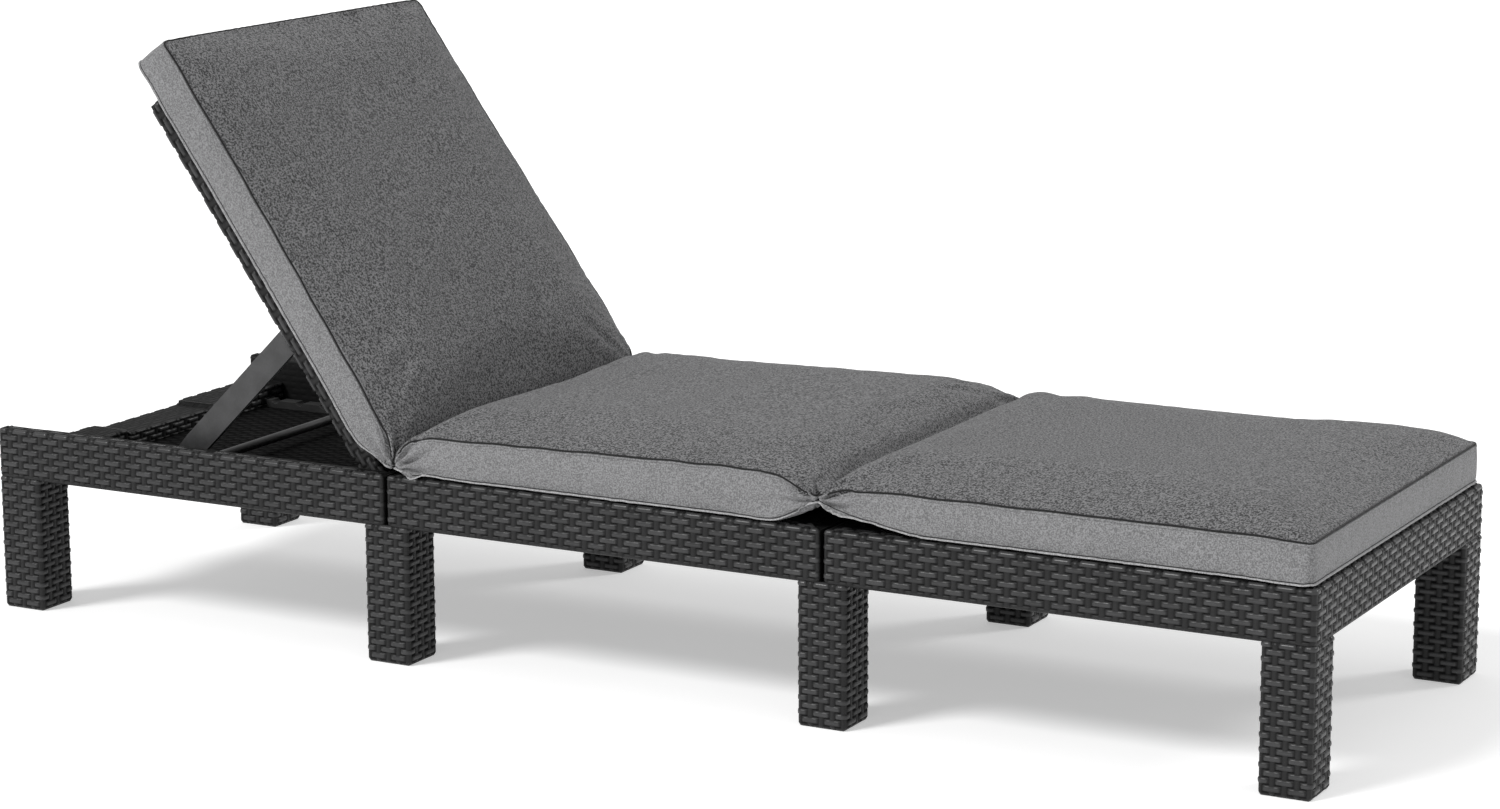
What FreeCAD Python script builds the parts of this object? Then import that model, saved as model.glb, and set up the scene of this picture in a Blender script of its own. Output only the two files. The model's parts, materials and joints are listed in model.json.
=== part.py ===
"""Reclining sun lounger: three moulded frame sections on eight legs, with a propped backrest.

World frame: millimetres, +Z up, +X towards the foot end, +Y to the sitter's left.
The origin is the centre of the footprint, on the ground.
The backrest is drawn flat, with its hinge axis at its own origin, and then placed.
The prop is drawn level, with its pivot at its own origin, and then placed.
"""
import FreeCAD, Part
import math
import os
import re
import Sketcher

SIZES = {
    # overall
    "length": 1930,
    "width": 620,
    "frame_top": 253.5,
    "leg_height": 187,
    "section_gap": 6,
    # moulded sections
    "rail_wall": 28,
    "shell": 4,
    "end_wall": 8,
    "corner_round": 5,
    "cross_rail_depth": 60,
    "cross_rail_top": 218.5,
    "ear_width": 26,
    "grip_drop": 6,
    "grip_half": 100,
    # legs
    "leg_side": 64,
    "leg_round": 4,
    "leg_shell": 4,
    "leg_cap": 8,
    "glide_pad": 3,
    "glide_plug": 12,
    "glide_inset": 2,
    "tenon_width": 16,
    "tenon_offset": 14,
    "tenon_height": 25,
    "tenon_fit": 0.2,
    "tenon_start": 8,
    "tenon_long": 48,
    "tenon_short": 22,
    "screw_radius": 3,
    "screw_head": 5.5,
    "screw_cap": 4,
    "screw_reach": 50,
    # bolts across the section joints
    "bolt_height": 205,
    "bolt_spread": 189,
    "bolt_radius": 4,
    "bolt_head": 7,
    "bolt_cap": 5,
    "nut_depth": 6,
    "spacer_radius": 10,
    "bolt_play": 0.2,
    # backrest, in its own frame
    "hinge_back": 355.7,
    "hinge_height": 235,
    "recline": 55.1,
    "panel_reach": 598,
    "panel_nose": 16.5,
    "panel_under": 15.5,
    "panel_over": 17.5,
    "panel_half": 281,
    "panel_rim": 13,
    "panel_skin": 5,
    "panel_rib": 4,
    "panel_bridge": 24,
    "channel_width": 22,
    # hinge pins and bushes
    "pin_radius": 6,
    "pin_inner": 262,
    "pin_outer": 300,
    "bush_radius": 9,
    "running_play": 0.05,
    # prop
    "pivot_along": 231,
    "pivot_below": 15,
    "prop_reach": 293,
    "prop_slope": 44.65,
    "arm_outer": 262,
    "arm_thick": 8,
    "arm_half": 17.5,
    "foot_half": 13,
    "foot_taper": 60,
    "bar_radius": 6.5,
    "cap_radius": 10,
    "cap_thick": 4,
    "cheek_thick": 4,
    "cheek_play": 0.5,
    "cheek_half": 12,
    "bracket_length": 60,
    "bracket_base": 4,
    "bracket_screw_spread": 21,
    "prop_pin_radius": 5,
    "pin_button": 1.5,
    # rack that the cross bar rests in
    "rack_outer": 245,
    "rack_width": 20,
    "rack_height": 12,
    "rack_start": 895,
    "rack_end": 690,
    "notch_first": 879.6,
    "notch_pitch": 43.3,
    "notch_radius": 7.5,
    "notch_lift": 2.5,
    # cushions
    "cushion_gap": 0.5,
    "seat_rear": 296,
    "seat_front": 308,
    "seat_thick": 58,
    "foot_rear": 322,
    "foot_front": 962,
    "foot_thick": 55,
    "back_start": 22,
    "back_end": 645,
    "back_lift": 19,
    "back_thick": 57,
    "cushion_half": 309,
    "cushion_round": 12,
    "fold_thick": 4,
    "front_fold_height": 288,
    "rear_fold_height": 258,
    "rear_fold_reach": 12,
}

# Lengths worked out from the driving dimensions, as text that bind() turns into expressions.
SECTION = "((length - 2*section_gap)/3)"
RAIL_IN = "(width/2 - rail_wall)"
WELL_FLOOR = "(leg_height + shell)"
LEG_Y = "(width/2 - leg_side/2)"
TENON_Y = "(width/2 - tenon_offset)"
JOINT = f"({SECTION}/2 + section_gap/2)"
HINGE_END = f"(0 - {JOINT} - section_gap/2)"
SEAT_END = f"({SECTION}/2)"
FOOT_START = f"({JOINT} + section_gap/2)"
SKIN = "(panel_over - panel_skin)"
ARM_MID = "(arm_outer - arm_thick/2)"
SIDES = {"left": 1, "right": -1}

doc = FreeCAD.newDocument("sun_lounger")
dims = doc.addObject("Spreadsheet::Sheet", "dims")
for row, (alias, size) in enumerate(SIZES.items(), start=1):
    dims.set(f"A{row}", alias)
    dims.set(f"B{row}", str(size))
    dims.setAlias(f"B{row}", alias)
doc.recompute()

nodes = {}


def bind(text):
    """Point every size named in a sum at its cell in the sheet."""

    def cell(word):
        return f"dims.{word.group()}" if word.group() in SIZES else word.group()

    return re.sub(r"[a-z_]+", cell, text)


def signed(side, text):
    """The same distance on the left (+Y) or on the right (-Y)."""
    return text if side > 0 else f"(0 - ({text}))"


def span(side, low, high):
    """A range of distances from the centre plane, in rising order of Y on either side."""
    return (low, high) if side > 0 else (f"(0 - ({high}))", f"(0 - ({low}))")


def place(piece, x="0", y="0", z="0", axis=(0, 1, 0), angle=None):
    """Bind a piece's Placement to the sheet."""
    if angle is not None:
        piece.Placement.Rotation = FreeCAD.Rotation(FreeCAD.Vector(*axis), 30)
        for letter, value in zip("xyz", axis):
            piece.setExpression(f"Placement.Rotation.Axis.{letter}", str(value))
        piece.setExpression("Placement.Rotation.Angle", bind(angle))
    for letter, text in zip("xyz", (x, y, z)):
        piece.setExpression(f"Placement.Base.{letter}", bind(text))


def on_backrest(piece):
    """Carry a piece drawn in the backrest's frame to the raised backrest."""
    place(piece, "0 - hinge_back", "0", "hinge_height", angle="recline")


def on_prop(piece):
    """Carry a piece drawn in the prop's frame to the prop under the raised backrest."""
    place(
        piece,
        "0 - hinge_back - pivot_along*cos(recline) - pivot_below*sin(recline)",
        "0",
        "hinge_height + pivot_along*sin(recline) - pivot_below*cos(recline)",
        angle="0 - prop_slope",
    )


def keep(name, piece):
    """Name a finished sub-part, which is also its file's name."""
    piece.Label = name
    nodes[name] = piece
    return piece


# --- PartDesign helpers ---------------------------------------------------------------------


def sketch(body, name, role, offset="0"):
    """A sketch on one of the body's own origin planes, moved along the plane's normal."""
    plane = next(feature for feature in body.Origin.OriginFeatures if feature.Role == role)
    made = body.newObject("Sketcher::SketchObject", name)
    made.AttachmentSupport = [(plane, "")]
    made.MapMode = "FlatFace"
    made.setExpression("AttachmentOffset.Base.z", bind(offset))
    return made


def measure(made, kind, geometry, point, text):
    """A distance from the sketch's origin to a point, bound to the sheet."""
    index = made.addConstraint(Sketcher.Constraint(kind, -1, 1, geometry, point, 1.0))
    name = f"{kind}_{geometry}_{point}"
    made.renameConstraint(index, name)
    made.setExpression(f"Constraints.{name}", bind(text))


def rectangle(made, x_low, x_high, y_low, y_high):
    first = made.GeometryCount
    corners = [FreeCAD.Vector(x, y, 0) for x, y in ((0, 0), (10, 0), (10, 10), (0, 10))]
    for index in range(4):
        made.addGeometry(Part.LineSegment(corners[index], corners[(index + 1) % 4]))
    for index in range(4):
        made.addConstraint(Sketcher.Constraint("Coincident", first + index, 2, first + (index + 1) % 4, 1))
        made.addConstraint(Sketcher.Constraint("Vertical" if index % 2 else "Horizontal", first + index))
    measure(made, "DistanceX", first, 1, x_low)
    measure(made, "DistanceY", first, 1, y_low)
    measure(made, "DistanceX", first + 1, 2, x_high)
    measure(made, "DistanceY", first + 1, 2, y_high)


def circle(made, x, y, radius):
    index = made.addGeometry(Part.Circle(FreeCAD.Vector(1, 1, 0), FreeCAD.Vector(0, 0, 1), 5))
    measure(made, "DistanceX", index, 3, x)
    measure(made, "DistanceY", index, 3, y)
    constraint = made.addConstraint(Sketcher.Constraint("Radius", index, 5.0))
    made.renameConstraint(constraint, f"radius_{index}")
    made.setExpression(f"Constraints.radius_{index}", bind(radius))


def outline(made, points):
    """A closed outline of straight lines, each corner bound to the sheet."""
    first = made.GeometryCount
    count = len(points)
    for index in range(count):
        start = FreeCAD.Vector(index * 3, index * index, 0)
        end = FreeCAD.Vector(((index + 1) % count) * 3, ((index + 1) % count) ** 2, 0)
        made.addGeometry(Part.LineSegment(start, end))
    for index in range(count):
        following = first + (index + 1) % count
        made.addConstraint(Sketcher.Constraint("Coincident", first + index, 2, following, 1))
    for index, (x, y) in enumerate(points):
        measure(made, "DistanceX", first + index, 1, x)
        measure(made, "DistanceY", first + index, 1, y)


def pad(body, profile, length, midplane=False, reverse=False):
    made = body.newObject("PartDesign::Pad", f"{profile.Name}_pad")
    made.Profile = profile
    made.Midplane = midplane
    made.Reversed = reverse
    made.setExpression("Length", bind(length))
    return made


def pocket(body, profile, depth, reverse=False, midplane=False):
    """Cut a profile away. The cut goes against the plane's normal unless it is reversed."""
    doc.recompute()
    before = body.Shape.Volume
    made = body.newObject("PartDesign::Pocket", f"{profile.Name}_pocket")
    made.Profile = profile
    made.Reversed = reverse
    made.Midplane = midplane
    made.setExpression("Length", bind(depth))
    doc.recompute()
    if not body.Shape.Volume < before - 1:
        raise RuntimeError(f"{profile.Name} cuts nothing")
    return made


def soften(body, feature, radius, chosen):
    """Round the edges of a feature for which chosen(edge) holds."""
    doc.recompute()
    names = [f"Edge{index}" for index, edge in enumerate(feature.Shape.Edges, start=1) if chosen(edge)]
    made = body.newObject("PartDesign::Fillet", f"{feature.Name}_round")
    made.Base = (feature, names)
    made.setExpression("Radius", bind(radius))
    doc.recompute()
    return made


def upright(edge):
    """Straight edges along Z."""
    ends = [vertex.Point for vertex in edge.Vertexes]
    if len(ends) != 2:
        return False
    along = ends[0] - ends[1]
    return abs(along.z) > 1 and math.hypot(along.x, along.y) < 1e-6


# --- Part helpers ---------------------------------------------------------------------------


def cylinder(name, radius, length, x="0", y="0", z="0", axis=None):
    """A cylinder whose first end is at x, y, z and which runs along +Z, or along the axis given."""
    made = doc.addObject("Part::Cylinder", name)
    made.setExpression("Radius", bind(radius))
    made.setExpression("Height", bind(length))
    turned = {None: None, "x": ((0, 1, 0), "90"), "y": ((1, 0, 0), "0 - 90")}[axis]
    if turned:
        place(made, x, y, z, axis=turned[0], angle=turned[1])
    else:
        place(made, x, y, z)
    return made


def block(name, x_low, x_high, y_low, y_high, z_low, z_high):
    made = doc.addObject("Part::Box", name)
    for side, low, high in (("Length", x_low, x_high), ("Width", y_low, y_high), ("Height", z_low, z_high)):
        made.setExpression(side, bind(f"({high}) - ({low})"))
    place(made, x_low, y_low, z_low)
    return made


def fuse(name, *pieces):
    made = doc.addObject("Part::MultiFuse", name)
    made.Shapes = list(pieces)
    return made


def cut(name, base, tool):
    made = doc.addObject("Part::Cut", name)
    made.Base = base
    made.Tool = tool
    return made


def group(name, pieces):
    made = doc.addObject("Part::Compound", f"{name}_group")
    made.Links = list(pieces)
    return keep(name, made)


# --- frame sections -------------------------------------------------------------------------


def section_blank(name, x_low, x_high):
    """The moulded block of one frame section, with rounded upright corners."""
    body = doc.addObject("PartDesign::Body", f"{name}_body")
    plan = sketch(body, f"{name}_plan", "XY_Plane", "leg_height")
    rectangle(plan, x_low, x_high, "0 - width/2", "width/2")
    soften(body, pad(body, plan, "frame_top - leg_height"), "corner_round", upright)
    return body


def underside_cells(body, name, x_low, x_high, columns):
    """Open cells under the deck, three across, that leave ribs one shell thick."""
    cells = sketch(body, f"{name}_cells", "XY_Plane", "leg_height")
    cell_x = f"((({x_high}) - ({x_low}) - {columns - 1}*shell)/{columns})"
    cell_y = f"((2*{RAIL_IN} - 2*shell)/3)"
    for column in range(columns):
        for across in range(3):
            x = f"({x_low}) + {column}*({cell_x} + shell)"
            y = f"{across}*({cell_y} + shell) - {RAIL_IN}"
            rectangle(cells, x, f"{x} + {cell_x}", y, f"{y} + {cell_y}")
    return cells


def rail_hollows(body, name, x_low, x_high):
    """The side rails are channels, open below between the legs."""
    hollows = sketch(body, f"{name}_rails", "XY_Plane", "leg_height")
    for side in SIDES.values():
        rectangle(hollows, x_low, x_high, *span(side, f"{RAIL_IN} + shell", "width/2 - shell"))
    pocket(body, hollows, "frame_top - leg_height - shell", reverse=True)


def leg_sockets(body, name, sockets):
    """Sockets for the leg tenons, each with a pilot hole above it for the leg's screw."""
    seats = sketch(body, f"{name}_sockets", "XY_Plane", "leg_height")
    pilots = sketch(body, f"{name}_pilots", "XY_Plane", "leg_height")
    for x_low, x_high in sockets:
        for side in SIDES.values():
            rectangle(
                seats,
                f"{x_low} - tenon_fit",
                f"{x_high} + tenon_fit",
                *span(
                    side,
                    f"{TENON_Y} - tenon_width/2 - tenon_fit",
                    f"{TENON_Y} + tenon_width/2 + tenon_fit",
                ),
            )
            circle(pilots, f"({x_low} + {x_high})/2", signed(side, TENON_Y), "screw_radius")
    pocket(body, seats, "tenon_height + tenon_fit", reverse=True)
    pocket(body, pilots, "screw_reach + tenon_fit", reverse=True)


def bolt_holes(body, name, wall_x, inward):
    """Holes for the three bolts through one end wall."""
    holes = sketch(body, f"{name}_bolts", "YZ_Plane", wall_x)
    for step in (-1, 0, 1):
        circle(holes, f"{step}*bolt_spread", "bolt_height", "bolt_radius + bolt_play")
    pocket(body, holes, "end_wall + 1", reverse=inward > 0)


def flat_section(name, x_low, x_high, sockets, hollow, joints):
    """A section with a closed deck: seat and foot."""
    body = section_blank(name, x_low, x_high)
    cells = underside_cells(body, name, f"{x_low} + end_wall", f"{x_high} - end_wall", 4)
    pocket(body, cells, "frame_top - leg_height - shell", reverse=True)
    rail_hollows(body, name, *hollow)
    leg_sockets(body, name, sockets)
    for number, (wall_x, inward) in enumerate(joints):
        bolt_holes(body, f"{name}_{number}", wall_x, inward)
    return keep(name, body)


def short_socket(end, inward):
    """The half of a middle leg's tenon that enters the section ending here, in rising order of X."""
    near, far = f"{end} + {inward}*shell", f"{end} + {inward}*(shell + tenon_short)"
    return (near, far) if inward > 0 else (far, near)


HEAD_TENON = ("(tenon_start - length/2)", "(tenon_start + tenon_long - length/2)")
FOOT_TENON = ("(length/2 - tenon_start - tenon_long)", "(length/2 - tenon_start)")

flat_section(
    "seat_section",
    f"(0 - {SEAT_END})",
    SEAT_END,
    [short_socket(f"(0 - {SEAT_END})", 1), short_socket(SEAT_END, -1)],
    (f"leg_side/2 + shell - {SEAT_END}", f"{SEAT_END} - leg_side/2 - shell"),
    [(f"(0 - {SEAT_END})", 1), (SEAT_END, -1)],
)
flat_section(
    "foot_section",
    FOOT_START,
    "(length/2)",
    [short_socket(FOOT_START, 1), FOOT_TENON],
    (f"{FOOT_START} + leg_side/2 + shell", "length/2 - leg_side - shell"),
    [(FOOT_START, 1)],
)

# The head section is a tray: the backrest lies in it when flat, over the prop and its racks.
head = section_blank("head_section", "0 - length/2", HINGE_END)
well = sketch(head, "well", "XY_Plane", "frame_top")
rectangle(well, "cross_rail_depth - length/2", f"{HINGE_END} - end_wall", f"0 - {RAIL_IN}", RAIL_IN)
pocket(head, well, f"frame_top - {WELL_FLOOR}")
saddle = sketch(head, "saddle", "XY_Plane", "frame_top")
rectangle(
    saddle,
    "0 - length/2 - 1",
    "cross_rail_depth - length/2 + 1",
    "ear_width - width/2",
    "width/2 - ear_width",
)
pocket(head, saddle, "frame_top - cross_rail_top")
grip = sketch(head, "grip", "XY_Plane", "cross_rail_top")
rectangle(grip, "0 - length/2 - 1", "cross_rail_depth - length/2 + 1", "0 - grip_half", "grip_half")
pocket(head, grip, "grip_drop")
under_rail = underside_cells(
    head, "head_rail", "shell - length/2", "cross_rail_depth - shell - length/2", 1
)
pocket(head, under_rail, "cross_rail_top - grip_drop - shell - leg_height", reverse=True)
rail_hollows(head, "head", "leg_side + shell - length/2", "0 - hinge_back - 3*pin_radius")
leg_sockets(head, "head", [HEAD_TENON, short_socket(HINGE_END, -1)])
bolt_holes(head, "head", HINGE_END, -1)
pin_seats = sketch(head, "pin_seats", "XZ_Plane")
circle(pin_seats, "0 - hinge_back", "hinge_height", "pin_radius")
pocket(head, pin_seats, "2*pin_outer", midplane=True)
keep("head_section", head)

# --- legs, glides and screws ------------------------------------------------------------------


def leg(name, side, x_centre, tenons):
    """A hollow moulded leg, open below, with tenons that enter the rail and a screw hole in each."""
    body = doc.addObject("PartDesign::Body", f"{name}_body")
    foot = sketch(body, f"{name}_plan", "XY_Plane", "glide_pad")
    y_range = span(side, "width/2 - leg_side", "width/2")
    rectangle(foot, f"{x_centre} - leg_side/2", f"{x_centre} + leg_side/2", *y_range)
    soften(body, pad(body, foot, "leg_height - glide_pad"), "leg_round", upright)
    inside = sketch(body, f"{name}_inside", "XY_Plane", "glide_pad")
    y_range = span(side, "width/2 - leg_side + leg_shell", "width/2 - leg_shell")
    rectangle(
        inside, f"{x_centre} - leg_side/2 + leg_shell", f"{x_centre} + leg_side/2 - leg_shell", *y_range
    )
    pocket(body, inside, "leg_height - glide_pad - leg_cap", reverse=True)
    tongue = sketch(body, f"{name}_tenons", "XY_Plane", "leg_height")
    holes = sketch(body, f"{name}_holes", "XY_Plane", "leg_height + tenon_height")
    for x_low, x_high in tenons:
        y_range = span(side, f"{TENON_Y} - tenon_width/2", f"{TENON_Y} + tenon_width/2")
        rectangle(tongue, x_low, x_high, *y_range)
        circle(holes, f"({x_low} + {x_high})/2", signed(side, TENON_Y), "screw_radius + tenon_fit")
    pad(body, tongue, "tenon_height")
    pocket(body, holes, "tenon_height + leg_cap + 1")
    return keep(name, body)


ROWS = {
    "head": ("(leg_side/2 - length/2)", [HEAD_TENON]),
    "back": (f"(0 - {JOINT})", [short_socket(HINGE_END, -1), short_socket(f"(0 - {SEAT_END})", 1)]),
    "knee": (f"({JOINT})", [short_socket(SEAT_END, -1), short_socket(FOOT_START, 1)]),
    "foot": ("(length/2 - leg_side/2)", [FOOT_TENON]),
}
glides = []
screws = []
for row, (x_centre, tenons) in ROWS.items():
    for side_name, side in SIDES.items():
        leg(f"leg_{row}_{side_name}", side, x_centre, tenons)
        tag = f"{row}_{side_name}"
        y_outer = span(side, "width/2 - leg_side + glide_inset", "width/2 - glide_inset")
        sole = block(
            f"sole_{tag}",
            f"{x_centre} - leg_side/2 + glide_inset",
            f"{x_centre} + leg_side/2 - glide_inset",
            *y_outer,
            "0",
            "glide_pad",
        )
        y_inner = span(
            side,
            "width/2 - leg_side + leg_shell + tenon_fit",
            "width/2 - leg_shell - tenon_fit",
        )
        plug = block(
            f"plug_{tag}",
            f"{x_centre} - leg_side/2 + leg_shell + tenon_fit",
            f"{x_centre} + leg_side/2 - leg_shell - tenon_fit",
            *y_inner,
            "glide_pad",
            "glide_pad + glide_plug",
        )
        glides.append(fuse(f"glide_{tag}", sole, plug))
        for number, (x_low, x_high) in enumerate(tenons):
            spot = (f"({x_low} + {x_high})/2", signed(side, TENON_Y))
            cap = cylinder(
                f"cap_{tag}_{number}",
                "screw_head",
                "screw_cap",
                *spot,
                "leg_height - leg_cap - screw_cap",
            )
            shank = cylinder(
                f"shank_{tag}_{number}",
                "screw_radius",
                "leg_cap + screw_reach",
                *spot,
                "leg_height - leg_cap",
            )
            screws.append(fuse(f"leg_screw_{tag}_{number}", cap, shank))
group("leg_glides", glides)
group("leg_screws", screws)

# --- bolts, nuts and spacers across the two section joints ------------------------------------

bolts = []
nuts = []
spacers = []
for joint_name, joint_x in (("back", f"(0 - {JOINT})"), ("knee", f"({JOINT})")):
    for step in (-1, 0, 1):
        tag = f"{joint_name}_{step + 1}"
        across = f"{step}*bolt_spread"
        head_x = f"{joint_x} - section_gap/2 - end_wall"
        cap = cylinder(
            f"bolt_cap_{tag}", "bolt_head", "bolt_cap", f"{head_x} - bolt_cap", across, "bolt_height", "x"
        )
        reach = "section_gap + 2*end_wall + nut_depth"
        shank = cylinder(f"bolt_shank_{tag}", "bolt_radius", reach, head_x, across, "bolt_height", "x")
        bolts.append(fuse(f"bolt_{tag}", cap, shank))
        nut_x = f"{joint_x} + section_gap/2 + end_wall"
        nut = cylinder(f"nut_blank_{tag}", "bolt_head", "nut_depth", nut_x, across, "bolt_height", "x")
        thread = cylinder(
            f"nut_bore_{tag}",
            "bolt_radius",
            "nut_depth",
            nut_x,
            across,
            "bolt_height",
            "x",
        )
        nuts.append(cut(f"nut_{tag}", nut, thread))
        ring_x = f"{joint_x} - section_gap/2"
        ring = cylinder(f"ring_{tag}", "spacer_radius", "section_gap", ring_x, across, "bolt_height", "x")
        hole = cylinder(
            f"ring_bore_{tag}",
            "bolt_radius + bolt_play",
            "section_gap",
            ring_x,
            across,
            "bolt_height",
            "x",
        )
        spacers.append(cut(f"spacer_{tag}", ring, hole))
group("section_bolts", bolts)
group("section_nuts", nuts)
group("section_spacers", spacers)

# --- racks on the floor of the head section ---------------------------------------------------

rack_screws = []
for side_name, side in SIDES.items():
    body = doc.addObject("PartDesign::Body", f"rack_{side_name}_body")
    strip = sketch(body, f"rack_{side_name}_plan", "XY_Plane", WELL_FLOOR)
    rectangle(strip, "0 - rack_start", "0 - rack_end", *span(
        side,
        "rack_outer - rack_width",
        "rack_outer",
    ))
    pad(body, strip, "rack_height")
    notch = sketch(body, f"rack_{side_name}_notch", "XZ_Plane")
    circle(notch, "0 - notch_first", f"{WELL_FLOOR} + rack_height + notch_lift", "notch_radius")
    first = pocket(body, notch, "2*rack_outer + 2", midplane=True)
    row = body.newObject("PartDesign::LinearPattern", f"rack_{side_name}_notches")
    row.Originals = [first]
    row.Direction = (notch, ["H_Axis"])
    row.Occurrences = 5
    row.setExpression("Length", bind("4*notch_pitch"))
    body.Tip = row
    keep(f"prop_rack_{side_name}", body)
    for number, along in enumerate(("0 - notch_first + notch_pitch/2", "0 - notch_first + 3.5*notch_pitch")):
        spot = (along, signed(side, "(rack_outer - rack_width/2)"))
        tag = f"{side_name}_{number}"
        cap = cylinder(f"rack_cap_{tag}", "screw_head", "screw_cap/2", *spot, "leg_height - screw_cap/2")
        shank = cylinder(
            f"rack_shank_{tag}",
            "screw_radius",
            "shell + rack_height/2",
            *spot,
            "leg_height",
        )
        rack_screws.append(fuse(f"rack_screw_{tag}", cap, shank))
        for holder in (head, body):
            hole = sketch(holder, f"{holder.Name}_screw_{tag}", "XY_Plane", "leg_height")
            circle(hole, *spot, "screw_radius")
            pocket(holder, hole, "shell + rack_height/2", reverse=True)
group("rack_screws", rack_screws)

# --- backrest, drawn flat about its hinge axis --------------------------------------------------

panel = doc.addObject("PartDesign::Body", "panel_body")
side_view = sketch(panel, "panel_side", "XZ_Plane")
rectangle(side_view, "0 - panel_reach", "panel_nose", "0 - panel_under", "panel_over")
slab = pad(panel, side_view, "2*panel_half", midplane=True)
soften(
    panel,
    slab,
    "(panel_under + panel_over)/2 - 0.1",
    lambda edge: all(vertex.X > 1 for vertex in edge.Vertexes)
    and abs(edge.Vertexes[0].Y - edge.Vertexes[-1].Y) > 1,
)
cells = sketch(panel, "panel_cells", "XY_Plane", "0 - panel_under")
FAR_END = "(panel_rim - panel_reach)"
NEAR_END = "(0 - panel_bridge)"
CHANNEL_IN = "(panel_half - panel_rim - channel_width)"
CELL_X = f"(({NEAR_END} - {FAR_END} - 3*panel_rib)/4)"
CELL_Y = f"((2*{CHANNEL_IN} - 4*panel_rib)/3)"
for column in range(4):
    for across in range(3):
        x = f"{FAR_END} + {column}*({CELL_X} + panel_rib)"
        y = f"panel_rib - {CHANNEL_IN} + {across}*({CELL_Y} + panel_rib)"
        rectangle(cells, x, f"{x} + {CELL_X}", y, f"{y} + {CELL_Y}")
BEND = "(bracket_length/2 - pivot_along)"
for side in SIDES.values():
    y_range = span(side, CHANNEL_IN, "panel_half - panel_rim")
    rectangle(cells, FAR_END, BEND, *y_range)
    rectangle(cells, f"{BEND} + panel_rib", NEAR_END, *y_range)
pocket(panel, cells, "panel_under + panel_over - panel_skin", reverse=True)
bush_seats = sketch(panel, "bush_seats", "XZ_Plane")
circle(bush_seats, "0", "0", "bush_radius")
pocket(panel, bush_seats, "2*panel_half", midplane=True)
pilots = sketch(panel, "bracket_pilots", "XY_Plane", SKIN)
for side in SIDES.values():
    for step in (-1, 1):
        circle(pilots, f"{step}*bracket_screw_spread - pivot_along", signed(side, ARM_MID), "screw_radius")
pocket(panel, pilots, "panel_skin - 1", reverse=True)
keep("backrest_panel", panel)
on_backrest(panel)

for side_name, side in SIDES.items():
    y_low, y_high = span(side, "pin_inner", "pin_outer")
    pin = cylinder(
        f"hinge_pin_{side_name}_rod",
        "pin_radius",
        "pin_outer - pin_inner",
        "0 - hinge_back",
        y_low,
        "hinge_height",
        "y",
    )
    keep(f"hinge_pin_{side_name}", pin)
    y_low, y_high = span(side, "pin_inner - 2", "panel_half")
    sleeve = cylinder(
        f"bush_{side_name}_sleeve",
        "bush_radius",
        "panel_half - pin_inner + 2",
        "0",
        y_low,
        "0",
        "y",
    )
    bore = cylinder(
        f"bush_{side_name}_bore",
        "pin_radius + running_play",
        "panel_half - pin_inner + 2",
        "0",
        y_low,
        "0",
        "y",
    )
    on_backrest(keep(f"hinge_bush_{side_name}", cut(f"bush_{side_name}", sleeve, bore)))

# --- prop brackets and pins, on the backrest ---------------------------------------------------

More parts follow.
